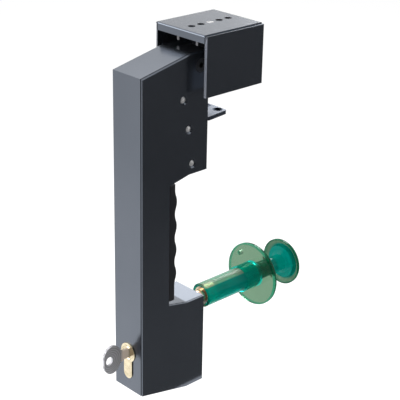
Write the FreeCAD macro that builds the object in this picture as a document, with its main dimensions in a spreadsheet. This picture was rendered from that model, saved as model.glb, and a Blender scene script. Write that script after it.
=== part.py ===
import FreeCAD, Part
import math
import os
import re
import Sketcher

# Lever latch for a cold room door that overlaps its frame, shown shut.
# The origin is the corner where the door's outer face (Y = 0) meets the door's edge (Z = 0),
# on the centre line. Y points into the room, Z up, and X to the right seen from outside.

# Each size that can be set by itself: its alias, its amount in millimetres or degrees, its meaning.
SIZES = {
    "running_gap": (0.05, "radial clearance of a turning or sliding fit"),
    "seat_gap": (0.3, "clearance where two moving pieces meet"),
    "door_clearance": (0.7, "gap between the lever's back edges and the door"),
    "sheet_gauge": (2.0, "thickness of the lever's folded channel"),
    "plate_gauge": (2.0, "thickness of the lever's side plate"),
    "lever_width": (35.0, "overall width of the lever"),
    "lever_reach": (70.0, "distance of the lever's front face from the door"),
    "front_lead": (0.5, "height of the front face's top edge above the pivot"),
    "foot_height": (75.9, "height of the front face below the ledge"),
    "slope_angle": (12.0, "slope of the lever's folded ends"),
    "knee_reach": (20.0, "distance from the door at which the slope ends"),
    "fold_radius": (1.2, "outer radius of the channel's folds"),
    "edge_break": (0.4, "chamfer on the side plate's outer edges"),
    "block_foot": (44.9, "depth of the upper block below the door's edge"),
    "ledge_depth": (151.6, "depth of the lower block's ledge below the door's edge"),
    "grip_seat": (40.5, "distance of the sheet edges behind the grip from the door"),
    "grip_reach": (32.0, "distance of the grip's crests from the door"),
    "grip_wave": (2.0, "depth of the finger grooves"),
    "grip_lead": (4.7, "height of the grip above the first groove's middle"),
    "grip_tail": (13.3, "height of the lowest groove's middle above the grip's foot"),
    "grip_notch": (3.6, "open notch between the grip and the ledge"),
    "grip_edge": (2.0, "rounding of the grip's back edges"),
    "grip_plug": (6.0, "depth of the grip's plug inside the channel"),
    "pivot_back": (9.2, "distance of the pivot from the door"),
    "pivot_height": (48.5, "height of the pivot above the door's edge"),
    "pivot_radius": (4.0, "radius of the pivot pin"),
    "pivot_head": (5.8, "radius of the pivot pin's head"),
    "swing_angle": (9.0, "swing of the lever"),
    "bracket_gauge": (2.5, "thickness of the base bracket"),
    "bracket_width": (29.0, "width of the base bracket over its ears"),
    "bracket_foot": (38.0, "depth of the base bracket below the door's edge"),
    "ear_round": (9.0, "radius of an ear about the pivot"),
    "ear_toe": (7.0, "depth of an ear at its foot"),
    "tongue_reach": (25.0, "length of the tongue over the door's edge"),
    "tongue_gauge": (3.2, "thickness of the tongue"),
    "tongue_width": (32.0, "width of the tongue where it leaves the lever"),
    "tongue_tip": (26.0, "width of the tongue's end"),
    "tongue_corner": (2.5, "rounding of the tongue's corners"),
    "tongue_hole_back": (20.0, "distance of the tongue's holes from the door's face"),
    "tongue_hole_pitch": (14.0, "spacing of the tongue's two holes"),
    "tongue_hole": (2.25, "radius of the tongue's holes"),
    "tongue_sink": (4.25, "radius of their countersinks"),
    "face_hole": (2.75, "radius of the face plate's holes"),
    "face_sink": (4.6, "radius of their countersinks"),
    "face_hole_top": (10.0, "depth of the upper face hole below the door's edge"),
    "face_hole_pitch": (18.0, "spacing of the face plate's holes"),
    "bush_wall": (1.5, "wall of the pivot bushes"),
    "bush_flange": (7.0, "radius of the bush flanges"),
    "bush_lip": (0.8, "thickness of the bush flanges"),
    "pillar_radius": (5.0, "radius of the spacer pillars"),
    "rivet_radius": (3.0, "radius of the riveted pillar ends"),
    "upper_pillar_back": (26.9, "distance of the upper pillar from the door"),
    "upper_pillar_height": (23.4, "height of the upper pillar"),
    "middle_pillar_back": (20.9, "distance of the middle pillar from the door"),
    "middle_pillar_height": (-1.9, "height of the middle pillar"),
    "lower_pillar_back": (16.6, "distance of the lower pillar from the door"),
    "lower_pillar_height": (-31.8, "height of the lower pillar"),
    "screw_radius": (2.0, "shank radius of the countersunk screws"),
    "screw_head": (3.75, "head radius of the countersunk screws"),
    "screw_length": (11.0, "length of the countersunk screws"),
    "recess_width": (0.9, "width of the cross recess"),
    "recess_depth": (1.2, "depth of the cross recess"),
    "hook_width": (12.0, "width of the latch hook"),
    "hook_eye": (8.0, "radius of the hook's hub"),
    "hook_boss": (8.0, "radius of the hook's boss on the upper pillar"),
    "hook_sleeve": (5.0, "radius of the sleeve that carries the springs"),
    "hook_arm": (8.0, "depth of the arm below the roller"),
    "hook_bite": (0.2, "height of the hook's tip above the roller's axis"),
    "hook_tip": (2.0, "flat of the hook's tip"),
    "hook_ramp": (9.5, "length of the ramp behind the tip"),
    "roller_radius": (4.0, "radius of the striker roller"),
    "roller_drop": (1.5, "depth of the roller's axis below the pivot"),
    "roller_length": (18.4, "length of the roller"),
    "axle_radius": (2.0, "radius of the roller's axle"),
    "axle_head": (3.2, "radius of the axle's riveted ends"),
    "axle_lip": (0.9, "thickness of the axle's riveted ends"),
    "carriage_width": (24.0, "width of the striker carriage"),
    "carriage_gauge": (2.5, "thickness of the striker carriage"),
    "carriage_front": (8.0, "reach of the carriage in front of the door's face"),
    "carriage_back": (34.0, "reach of the carriage behind the door's face"),
    "skirt_height": (10.5, "height of the carriage's skirts"),
    "cheek_round": (6.0, "radius of a cheek about the axle"),
    "hood_width": (58.5, "width of the keeper hood"),
    "hood_front": (15.3, "reach of the hood in front of the door's face"),
    "hood_back": (48.3, "distance of the frame's face behind the door's face"),
    "hood_rise": (26.5, "height of the hood's top above the pivot"),
    "hood_height": (49.6, "height of the hood"),
    "hood_gauge": (2.0, "thickness of the hood"),
    "hood_lip": (6.5, "height of the hood's front lip"),
    "hood_fold": (1.5, "outer radius of the hood's folds"),
    "hood_hole": (2.9, "radius of the setting holes"),
    "hood_hole_pitch": (10.0, "spacing of the setting holes"),
    "hood_hole_middle": (16.2, "distance of the middle setting hole from the door's face"),
    "frame_hole": (2.75, "radius of the hood's fixing holes"),
    "frame_hole_span": (36.0, "spacing of the fixing holes across"),
    "frame_hole_rise": (26.0, "spacing of the fixing holes up"),
    "setting_shank": (2.0, "shank radius of the setting screw"),
    "setting_length": (9.0, "length of the setting screw"),
    "cylinder_rise": (35.5, "height of the key axis above the front face's foot"),
    "cylinder_round": (8.5, "radius of the lock cylinder's round part"),
    "cylinder_leg": (10.0, "width of the lock cylinder's leg"),
    "cylinder_height": (33.0, "height of the lock cylinder's profile"),
    "cylinder_proud": (4.0, "reach of the lock cylinder in front of the lever"),
    "cylinder_length": (40.0, "length of the lock cylinder"),
    "cylinder_tail": (10.0, "distance of the fixing screw from the cylinder's end"),
    "cam_width": (10.0, "width of the gap for the cam"),
    "cam_reach": (13.5, "radius of the cam's sweep"),
    "cam_lobe": (8.6, "width of the cam's lobe"),
    "cam_hub": (7.4, "radius of the cam's hub"),
    "cam_gap": (0.4, "clearance beside the cam"),
    "plug_radius": (6.5, "radius of the plug"),
    "plug_tail": (4.5, "radius of the plug's tail"),
    "keyway_width": (2.3, "width of the keyway"),
    "keyway_height": (8.4, "height of the keyway"),
    "keyway_depth": (24.0, "depth of the keyway"),
    "key_gap": (0.1, "clearance about the key in its keyway"),
    "bow_height": (25.6, "height of the key's bow"),
    "bow_length": (20.0, "length of the key's bow"),
    "bow_neck": (3.0, "length of the key between bow and cylinder"),
    "bow_hole": (3.8, "radius of the hole in the bow"),
    "bow_hole_edge": (6.4, "distance of that hole from the bow's end"),
    "fixing_radius": (2.5, "radius of the cylinder's fixing screw"),
    "fixing_head": (4.2, "head radius of the cylinder's fixing screw"),
    "fixing_height": (2.8, "head height of the cylinder's fixing screw"),
    "fixing_short": (1.5, "distance of the fixing screw's end from the leg's far side"),
    "fixing_rise": (4.5, "height of the fixing screw above the leg's bottom"),
    "housing_drop": (6.9, "distance of the lock housing below the ledge"),
    "housing_rise": (3.5, "height of the lock housing's bottom above the front face's foot"),
    "housing_nose": (12.0, "depth of the housing's full-width front part"),
    "housing_cheek": (10.5, "half width of the housing behind its front part"),
    "housing_tail": (4.0, "housing behind the end of the lock cylinder"),
    "thrust_height": (19.0, "height of the housing's thrust arm"),
    "thrust_back": (4.0, "distance of the thrust face from the door"),
    "bore_gap": (0.1, "clearance round the lock cylinder"),
    "staple_gauge": (2.5, "thickness of the lock staple"),
    "staple_side": (0.6, "gap between the staple and the channel's wall"),
    "staple_arm": (20.0, "height of the staple's arm"),
    "staple_bar": (4.4, "bar of the staple in front of the cam"),
    "staple_foot": (24.0, "height and width of the staple's foot"),
    "staple_hole": (2.25, "radius of the staple's fixing holes"),
    "release_drop": (15.9, "distance of the inside release's axis below the ledge"),
    "rod_radius": (6.0, "radius of the release rod"),
    "rod_dome": (9.0, "radius of the rod's domed tip"),
    "rod_length": (74.0, "length of the rod's guided part"),
    "rod_tenon": (4.0, "radius of the rod's end inside the knob"),
    "tenon_length": (25.0, "length of that end"),
    "tube_start": (13.0, "distance of the release tube's end from the door's face"),
    "tube_radius": (10.7, "outer radius of the release tube"),
    "tube_bore": (8.0, "bore radius of the release tube"),
    "guide_length": (12.0, "length of the brass guide in the tube's end"),
    "door_thickness": (74.0, "thickness of the door at the release"),
    "flange_radius": (29.0, "radius of the inside flange"),
    "flange_gauge": (4.5, "thickness of the inside flange"),
    "spigot_radius": (12.0, "outer radius of the flange's spigot"),
    "spigot_length": (15.0, "length of the flange's spigot"),
    "flange_round": (1.5, "rounding of the flange's rim"),
    "flange_hole": (2.1, "radius of the flange's hole"),
    "flange_hole_place": (22.0, "distance of the flange's hole from the axis"),
    "flange_hole_turn": (134.0, "direction of the flange's hole from the X axis"),
    "tube_mouth": (2.4, "chamfer at the mouth of the release tube"),
    "knob_flare": (2.9, "widening of the knob's stem below the head"),
    "knob_gap": (0.6, "gap left under the pushed knob"),
    "knob_radius": (21.4, "radius of the knob"),
    "knob_dome": (9.0, "height of the knob's head"),
    "knob_fall": (5.6, "fall of the knob's dome to its rim"),
    "knob_rim": (0.6, "setback of the knob's rim"),
    "knob_wall": (1.6, "thickness of the knob's rim"),
    "knob_core": (15.0, "radius of the knob's solid middle"),
    "knob_round": (2.2, "rounding of the knob's rim"),
    "spring_wire": (0.7, "radius of the return springs' wire"),
    "spring_turns": (2.5, "turns of a return spring"),
    "spring_gap": (0.3, "clearance of the springs about their sleeve"),
    "spring_pitch": (1.45, "spacing of the springs' coils"),
    "spring_leg": (12.0, "length of a spring's legs"),
    "spring_hold": (3.0, "depth of a spring's end in its hole"),
}

GRIP_CRESTS = 4

# Places and sizes that follow from the ones above, each written once.
PLACES = {
    "rise": "tan(slope_angle * 1 deg)",
    "half_lever": "lever_width / 2",
    "wall_inside": "half_lever - sheet_gauge",
    "plate_inside": "half_lever - plate_gauge",
    "slope_run": "lever_reach - knee_reach",
    "front_top": "pivot_height + front_lead",
    "front_bottom": "-ledge_depth - foot_height",
    "head_top": "front_top + slope_run * rise",
    "foot_bottom": "front_bottom - slope_run * rise",
    "block_bottom": "-block_foot + (grip_seat - knee_reach) * rise",
    "ledge_back": "-ledge_depth - (grip_seat - knee_reach) * rise",
    "sloped_gauge": "sheet_gauge / cos(slope_angle * 1 deg)",
    "knee_shift": "sheet_gauge * tan(slope_angle * 0.5 deg)",
    "inner_front": "-lever_reach + sheet_gauge",
    "ear_inside": "bracket_width / 2 - bracket_gauge",
    "bush_radius": "pivot_radius + running_gap + bush_wall",
    "grip_pitch": "(ledge_depth - grip_notch - block_foot - seat_gap - grip_lead - grip_tail) / %d" % GRIP_CRESTS,
    "roller_back": "hood_hole_middle",
    "roller_height": "pivot_height - roller_drop",
    "hook_face": "roller_back + roller_radius + seat_gap",
    "hook_floor": "roller_height - roller_radius - 2 * seat_gap",
    "hook_peak": "roller_height + hook_bite",
    "cheek_inside": "carriage_width / 2 - carriage_gauge",
    "hood_top": "pivot_height + hood_rise",
    "hood_ceiling": "hood_top - hood_gauge",
    "carriage_skirt": "hood_ceiling - skirt_height",
    "cylinder_axis": "ledge_depth + foot_height - cylinder_rise",
    "cylinder_front": "-lever_reach - cylinder_proud",
    "cylinder_end": "cylinder_front + cylinder_length",
    "cam_middle": "cylinder_end - cylinder_tail",
    "leg_bottom": "-cylinder_axis + cylinder_round - cylinder_height",
    "leg_centre": "leg_bottom + cylinder_leg / 2",
    "fixing_depth": "leg_bottom + fixing_rise",
    "shoulder": "sqrt(cylinder_round ^ 2 - cylinder_leg ^ 2 / 4)",
    "bore_round": "cylinder_round + bore_gap",
    "bore_leg": "cylinder_leg / 2 + bore_gap",
    "bore_shoulder": "sqrt(bore_round ^ 2 - bore_leg ^ 2)",
    "housing_top": "ledge_depth + housing_drop",
    "housing_bottom": "ledge_depth + foot_height - housing_rise",
    "housing_step": "inner_front + housing_nose",
    "housing_end": "cylinder_end + housing_tail",
    "staple_face": "-wall_inside + staple_side",
    "slot_drop": "sqrt(max(cam_reach ^ 2 - (staple_face + staple_gauge) ^ 2; 1)) + 2 * cam_gap",
    "staple_reach": "-cam_middle + cam_width / 2 + cam_gap + staple_bar",
    "release_axis": "ledge_depth + release_drop",
    "release_travel": "(pivot_height + release_axis) * swing_angle * pi / 180",
    "rod_tip": "-thrust_back + seat_gap",
    "rod_end": "rod_tip + rod_length",
    "tube_end": "door_thickness + flange_gauge",
    "stem_radius": "tube_bore - 2 * running_gap",
    "knob_face": "tube_end + release_travel + knob_gap",
    "knob_top": "knob_face + knob_dome",
    "knob_shoulder": "knob_top - knob_fall",
    "dome_bend": "(knob_radius ^ 2 + knob_fall ^ 2) / (2 * knob_fall)",
    "spring_radius": "hook_sleeve + spring_gap + spring_wire",
    "fixing_sink": "plate_inside - fixing_height - running_gap",
}

document = FreeCAD.newDocument("DoorLatch")
nodes = {}


def fill_sheet():
    """Writes every size into the spreadsheet with its alias."""
    sheet = document.addObject("Spreadsheet::Sheet", "Sizes")
    for row, (alias, (amount, meaning)) in enumerate(SIZES.items(), start=1):
        sheet.set("A%d" % row, meaning)
        sheet.set("B%d" % row, "%g" % amount)
        sheet.setAlias("B%d" % row, alias)
    document.recompute()
    return sheet


SHEET = fill_sheet()


def formula(text):
    """The text with each size as its cell and each place as its own formula."""
    def swap(match):
        word = match.group(0)
        if word in PLACES:
            return "(" + formula(PLACES[word]) + ")"
        if word in SIZES:
            return "Sizes." + word
        return word
    return re.sub(r"[a-z][a-z_]*", swap, text)


def amount(text):
    """The present value of a formula, as a plain number."""
    result = SHEET.evalExpression(formula(str(text)))
    return float(getattr(result, "Value", result))


def bind(thing, field, text):
    """Ties a property or constraint to the sheet."""
    thing.setExpression(field, formula(str(text)))


def keep(thing, label):
    """Names a finished sub-part."""
    thing.Label = label
    nodes[label] = thing
    return thing


def new_body(name, height=None):
    """A body for one sub-part, with its own origin raised to a height."""
    body = document.addObject("PartDesign::Body", name)
    body.AllowCompound = True
    if height is not None:
        bind(body, "Placement.Base.z", height)
    return body


def sketch_on(body, plane, offset=None):
    """An empty sketch on one of the body's origin planes, moved along its normal."""
    sketch = body.newObject("Sketcher::SketchObject", body.Name + "_sketch")
    support = next(f for f in body.Origin.OriginFeatures if f.Role == plane + "_Plane")
    sketch.AttachmentSupport = (support, [""])
    sketch.MapMode = "FlatFace"
    if offset is not None:
        bind(sketch, "AttachmentOffset.Base.z", offset)
    return sketch


def fix_point(sketch, element, point, across, up):
    """Sets a point's two distances from the sketch's origin."""
    for kind, text in (("DistanceX", across), ("DistanceY", up)):
        index = sketch.addConstraint(Sketcher.Constraint(kind, -1, 1, element, point, amount(text)))
        bind(sketch, "Constraints[%d]" % index, text)


def draw_loop(sketch, corners):
    """A closed outline. A corner is (across, up). With the centre's two distances and a
    turn of 1 (to the left) or -1 (to the right) added, the side from there is an arc."""
    first = sketch.GeometryCount
    total = len(corners)
    places = [FreeCAD.Vector(amount(c[0]), amount(c[1]), 0) for c in corners]
    ends = []
    for number, corner in enumerate(corners):
        start = places[number]
        end = places[(number + 1) % total]
        ends.append((1, 2))
        if len(corner) == 2:
            sketch.addGeometry(Part.LineSegment(start, end))
            continue
        if corner[4] < 0:
            start, end = end, start
            ends[number] = (2, 1)
        centre = FreeCAD.Vector(amount(corner[2]), amount(corner[3]), 0)
        angles = [math.atan2(p.y - centre.y, p.x - centre.x) for p in (start, end)]
        if angles[1] <= angles[0]:
            angles[1] += 2 * math.pi
        circle = Part.Circle(centre, FreeCAD.Vector(0, 0, 1), (start - centre).Length)
        sketch.addGeometry(Part.ArcOfCircle(circle, *angles))
    for number, corner in enumerate(corners):
        following = (number + 1) % total
        sketch.addConstraint(Sketcher.Constraint(
            "Coincident", first + number, ends[number][1], first + following, ends[following][0]))
        fix_point(sketch, first + number, ends[number][0], corner[0], corner[1])
        if len(corner) > 2:
            chord = places[following] - places[number]
            level = abs(chord.x) >= abs(chord.y)
            text = corner[3] if level else corner[2]
            index = sketch.addConstraint(Sketcher.Constraint(
                "DistanceY" if level else "DistanceX", -1, 1, first + number, 3, amount(text)))
            bind(sketch, "Constraints[%d]" % index, text)


def draw_circle(sketch, across, up, radius):
    """A circle set by its centre and radius."""
    centre = FreeCAD.Vector(amount(across), amount(up), 0)
    element = sketch.addGeometry(Part.Circle(centre, FreeCAD.Vector(0, 0, 1), amount(radius)))
    fix_point(sketch, element, 3, across, up)
    index = sketch.addConstraint(Sketcher.Constraint("Radius", element, amount(radius)))
    bind(sketch, "Constraints[%d]" % index, radius)


def draw_box(sketch, left, right, bottom, top):
    """A rectangle set by its four sides."""
    draw_loop(sketch, [(left, bottom), (right, bottom), (right, top), (left, top)])


def pad(body, sketch, length, both_ways=False, backwards=False):
    """Adds the sketch's thickness to the body."""
    feature = body.newObject("PartDesign::Pad", body.Name + "_pad")
    feature.Profile = sketch
    bind(feature, "Length", length)
    if both_ways:
        feature.SideType = "Symmetric"
    feature.Reversed = backwards
    document.recompute()
    return feature


def pocket(body, sketch, length=None, backwards=False):
    """Cuts the sketch out of the body, right through where no length is given."""
    before = body.Shape.Volume
    feature = body.newObject("PartDesign::Pocket", body.Name + "_pocket")
    feature.Profile = sketch
    if length is None:
        feature.Type = "ThroughAll"
        feature.SideType = "Symmetric"
    else:
        bind(feature, "Length", length)
        feature.Reversed = backwards
    document.recompute()
    if not body.Shape.Volume < before:
        raise RuntimeError(body.Name + ": a pocket cuts nothing")
    return feature


def revolve(body, sketch, axis="H_Axis"):
    """Turns the sketch about one of its own axes."""
    feature = body.newObject("PartDesign::Revolution", body.Name + "_turn")
    feature.Profile = sketch
    feature.ReferenceAxis = (sketch, [axis])
    feature.Angle = 360
    document.recompute()
    return feature


def dress(body, kind, size, choose):
    """A fillet or chamfer on the edges that a test picks."""
    tip = body.Tip
    names = ["Edge%d" % number for number, edge in enumerate(tip.Shape.Edges, start=1)
             if choose(edge)]
    feature = body.newObject("PartDesign::" + kind, body.Name + "_" + kind.lower())
    feature.Base = (tip, names)
    bind(feature, "Radius" if kind == "Fillet" else "Size", size)
    document.recompute()
    if not names or not feature.isValid():
        raise RuntimeError("%s: no %s on %s" % (body.Name, kind, names))
    return feature


def ends_at(edge, axis, place, reach=1e-4):
    """Whether both ends of an edge lie in a plane across one axis."""
    return all(abs(v.Point[axis] - amount(place)) < reach for v in edge.Vertexes)


def is_ring(edge, radius):
    """Whether an edge is a full circle of a radius."""
    return len(edge.Vertexes) == 1 and abs(edge.Length / (2 * math.pi) - amount(radius)) < 1e-4


def solid(kind, name, turn=None, **fields):
    """A primitive with its sizes and place tied to the sheet."""
    thing = document.addObject("Part::" + kind, name)
    if turn is not None:
        thing.Placement = FreeCAD.Placement(FreeCAD.Vector(), FreeCAD.Rotation(*turn))
    for field, text in fields.items():
        field = {"x": "Placement.Base.x", "y": "Placement.Base.y", "z": "Placement.Base.z"}.get(field, field)
        bind(thing, field, text)
    return thing


ALONG_X = (FreeCAD.Vector(0, 1, 0), 90)
ALONG_Y = (FreeCAD.Vector(1, 0, 0), -90)


def fuse(name, pieces):
    """One solid from several primitives."""
    thing = document.addObject("Part::MultiFuse", name)
    thing.Shapes = pieces
    return thing


def cut(name, base, tool):
    """A solid less another."""
    thing = document.addObject("Part::Cut", name)
    thing.Base = base
    thing.Tool = tool
    return thing


def group(label, pieces):
    """Like pieces that share one node, each a solid of its own."""
    thing = document.addObject("Part::Compound", label)
    thing.Links = pieces
    return keep(thing, label)


PILLARS = ("upper", "middle", "lower")


def lever_outline():
    """The side of the lever, from the front's foot round by the head."""
    return [
        ("-lever_reach", "front_bottom"),
        ("-lever_reach", "front_top"),
        ("-knee_reach", "head_top"),
        ("-door_clearance", "head_top"),
        ("-door_clearance", "block_bottom"),
        ("-knee_reach", "block_bottom"),
        ("-grip_seat", "-block_foot"),
        ("-grip_seat", "-ledge_depth"),
        ("-knee_reach", "ledge_back"),
        ("-door_clearance", "ledge_back"),
        ("-door_clearance", "foot_bottom"),
        ("-knee_reach", "foot_bottom"),
    ]


def lever_hollow():
    """The same outline one sheet further in, open to the door and behind the grip."""
    inside = "-knee_reach + knee_shift"
    return [
        ("inner_front", "front_bottom - sheet_gauge * rise + sloped_gauge"),
        ("inner_front", "front_top + sheet_gauge * rise - sloped_gauge"),
        (inside, "head_top - sheet_gauge"),
        ("door_clearance", "head_top - sheet_gauge"),
        ("door_clearance", "block_bottom + sheet_gauge"),
        ("-knee_reach - knee_shift", "block_bottom + sheet_gauge"),
        ("-grip_seat", "-block_foot + sloped_gauge"),
        ("-grip_seat", "-ledge_depth - sloped_gauge"),
        ("-knee_reach - knee_shift", "ledge_back - sheet_gauge"),
        ("door_clearance", "ledge_back - sheet_gauge"),
        ("door_clearance", "foot_bottom + sheet_gauge"),
        (inside, "foot_bottom + sheet_gauge"),
    ]


def draw_cylinder_profile(sketch, half_leg, level):
    """The keyhole outline of a lock cylinder: a round part above a narrow leg."""
    draw_loop(sketch, [
        ("-(%s)" % half_leg, "-cylinder_axis - " + level, "0", "-cylinder_axis", -1),
        (half_leg, "-cylinder_axis - " + level),
        (half_leg, "leg_centre", "0", "leg_centre", -1),
        ("-(%s)" % half_leg, "leg_centre"),
    ])


def make_channel():
    """The lever's folded sheet: left wall, front, sloped head and foot, ledge and block foot."""
    body = new_body("Channel")
    outline = sketch_on(body, "YZ", "-half_lever")
    draw_loop(outline, lever_outline())
    pad(body, outline, "lever_width - plate_gauge")
    hollow = sketch_on(body, "YZ", "plate_inside")
    draw_loop(hollow, lever_hollow())
    pocket(body, hollow, "plate_inside + wall_inside")
    dress(body, "Fillet", "fold_radius", lambda edge: ends_at(edge, 0, "-half_lever") and (
        ends_at(edge, 1, "-lever_reach") or max(v.Z for v in edge.Vertexes) > amount("front_top") - 1e-3
        and edge.BoundBox.YLength > 1 or max(v.Z for v in edge.Vertexes) < amount("front_bottom") + 1e-3
        and edge.BoundBox.YLength > 1))
    keyhole = sketch_on(body, "XZ")
    draw_cylinder_profile(keyhole, "bore_leg", "bore_shoulder")
    pocket(body, keyhole)
    holes = sketch_on(body, "YZ", "-half_lever")
    draw_circle(holes, "-pivot_back", "pivot_height", "pivot_radius + running_gap")
    for name in PILLARS:
        draw_circle(holes, "-%s_pillar_back" % name, "%s_pillar_height" % name, "rivet_radius")
    for level in HOUSING_SCREWS:
        draw_circle(holes, "housing_step - housing_nose / 2", level, "screw_radius + running_gap")
    pocket(body, holes, "sheet_gauge", backwards=True)
    dress(body, "Chamfer", "screw_head - screw_radius - running_gap", lambda edge: (
        ends_at(edge, 0, "-half_lever") and is_ring(edge, "screw_radius + running_gap")))
    return keep(body, "lever_channel")


HOUSING_SCREWS = ("-housing_top - 8", "-housing_bottom + 8")


def make_side_plate():
    """The flat plate that closes the lever's right side."""
    body = new_body("SidePlate")
    outline = sketch_on(body, "YZ", "plate_inside")
    draw_loop(outline, lever_outline())
    pad(body, outline, "plate_gauge")
    dress(body, "Chamfer", "edge_break", lambda edge: ends_at(edge, 0, "half_lever"))
    for place, height, hole, head in side_plate_holes():
        ring = sketch_on(body, "YZ", "half_lever")
        draw_circle(ring, place, height, hole)
        pocket(body, ring, "plate_gauge")
        dress(body, "Chamfer", "%s - (%s)" % (head, hole), lambda edge: (
            ends_at(edge, 0, "half_lever") and is_ring(edge, hole)
            and abs(edge.BoundBox.Center.y - amount(place)) < 1e-3))
    return keep(body, "side_plate")


def side_plate_holes():
    """Place, height, bore and head radius of each countersunk hole in the side plate."""
    rows = [("-%s_pillar_back" % name, "%s_pillar_height" % name, "screw_radius + running_gap",
             "screw_head + running_gap") for name in PILLARS]
    rows.append(("-pivot_back", "pivot_height", "pivot_radius + running_gap", "pivot_head + running_gap"))
    return rows


def make_grip():
    """The moulded finger grip: a wave of crests and grooves on a plug that fills the channel."""
    body = new_body("Grip")
    top = "-block_foot - seat_gap"
    bottom = "-ledge_depth + grip_notch"
    bend = "(grip_pitch ^ 2 / 16 + grip_wave ^ 2 / 4) / grip_wave"
    groove = "-grip_reach - grip_wave"
    middle = "-grip_reach - grip_wave / 2"
    lowest = "%s - grip_lead - %d * grip_pitch" % (top, GRIP_CRESTS)
    corners = [("-grip_seat", top), ("-grip_seat", bottom), (groove, bottom)]
    corners.append((groove, lowest, "%s + %s" % (groove, bend), lowest, -1))
    for number in range(GRIP_CRESTS):
        height = "%s + %d * grip_pitch" % (lowest, number)
        corners.append((middle, height + " + grip_pitch / 4",
                        "-grip_reach - " + bend, height + " + grip_pitch / 2", 1))
        corners.append((middle, height + " + 3 * grip_pitch / 4",
                        "%s + %s" % (groove, bend), height + " + grip_pitch", -1))
    corners.append((groove, "%s - grip_lead" % top))
    corners.append((groove, top))
    wave = sketch_on(body, "YZ")
    draw_loop(wave, corners)
    pad(body, wave, "lever_width", both_ways=True)
    dress(body, "Fillet", "grip_edge", lambda edge: (
        (ends_at(edge, 0, "half_lever") or ends_at(edge, 0, "-half_lever"))
        and min(v.Y for v in edge.Vertexes) > amount(groove) - 0.01))
    plug = sketch_on(body, "YZ")
    draw_box(plug, "-grip_seat - grip_plug", "-grip_seat", bottom, "-block_foot - sheet_gauge")
    pad(body, plug, "2 * plate_inside - 2 * seat_gap", both_ways=True)
    return keep(body, "grip_moulding")


def make_pillars():
    """Spacer pillars across the channel, riveted left and tapped right."""
    made = []
    for name in PILLARS:
        back = "-%s_pillar_back" % name
        height = "%s_pillar_height" % name
        barrel = solid("Cylinder", name + "_barrel", ALONG_X, Radius="pillar_radius",
                       Height="plate_inside + wall_inside", x="-wall_inside", y=back, z=height)
        rivet = solid("Cylinder", name + "_rivet", ALONG_X, Radius="rivet_radius",
                      Height="sheet_gauge", x="-half_lever", y=back, z=height)
        tapped = solid("Cylinder", name + "_tapping", ALONG_X, Radius="screw_radius",
                       Height="screw_length", x="half_lever - screw_length", y=back, z=height)
        made.append(cut(name + "_pillar", fuse(name + "_blank", [barrel, rivet]), tapped))
    return group("spacer_pillars", made)


def countersunk_screw(name, back, height, face, facing):
    """A countersunk screw with a cross recess. Facing is 1 for a head to the right, else -1."""
    turn = ALONG_X if facing < 0 else (FreeCAD.Vector(0, 1, 0), -90)
    inward = "%+d" % -facing
    cone = solid("Cone", name + "_head", turn, Radius1="screw_head", Radius2="screw_radius",
                 Height="screw_head - screw_radius", x=face, y=back, z=height)
    shank = solid("Cylinder", name + "_shank", turn, Radius="screw_radius",
                  Height="screw_length", x=face, y=back, z=height)
    slots = []
    for number, (wide, tall) in enumerate((("recess_width", "screw_head"), ("screw_head", "recess_width"))):
        slots.append(solid(
            "Box", "%s_slot_%d" % (name, number), Length="2 * recess_depth", Width=wide, Height=tall,
            x="%s - recess_depth" % face, y="%s - %s / 2" % (back, wide), z="%s - %s / 2" % (height, tall)))
    recess = fuse(name + "_recess", slots)
    return cut(name, fuse(name + "_blank", [cone, shank]), recess)


def make_screws():
    """The three bright screws of the side plate and the two of the lock housing."""
    plate = [countersunk_screw(name + "_screw", "-%s_pillar_back" % name, "%s_pillar_height" % name,
                               "half_lever", 1) for name in PILLARS]
    group("side_plate_screws", plate)
    hidden = [countersunk_screw("housing_screw_%d" % number, "housing_step - housing_nose / 2", level,
                                "-half_lever", -1) for number, level in enumerate(HOUSING_SCREWS)]
    group("housing_screws", hidden)


def make_pivot_pin():
    """The pin on which the lever turns, with a hexagon socket in its sunk head."""
    body = new_body("PivotPin", "pivot_height")
    profile = sketch_on(body, "XZ", "pivot_back")
    draw_loop(profile, [
        ("-half_lever", "0"), ("half_lever", "0"), ("half_lever", "pivot_head"),
        ("half_lever - pivot_head + pivot_radius", "pivot_radius"), ("-half_lever", "pivot_radius")])
    revolve(body, profile)
    socket = sketch_on(body, "YZ", "half_lever")
    half = "pivot_radius * 0.6"
    flat = "pivot_radius * 0.6 * sqrt(3) / 2"
    draw_loop(socket, [
        ("-pivot_back - %s" % half, "0"), ("-pivot_back - %s / 2" % half, "-" + flat),
        ("-pivot_back + %s / 2" % half, "-" + flat), ("-pivot_back + %s" % half, "0"),
        ("-pivot_back + %s / 2" % half, flat), ("-pivot_back - %s / 2" % half, flat)])
    pocket(body, socket, "pivot_radius * 0.75")
    return keep(body, "pivot_pin")


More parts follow.
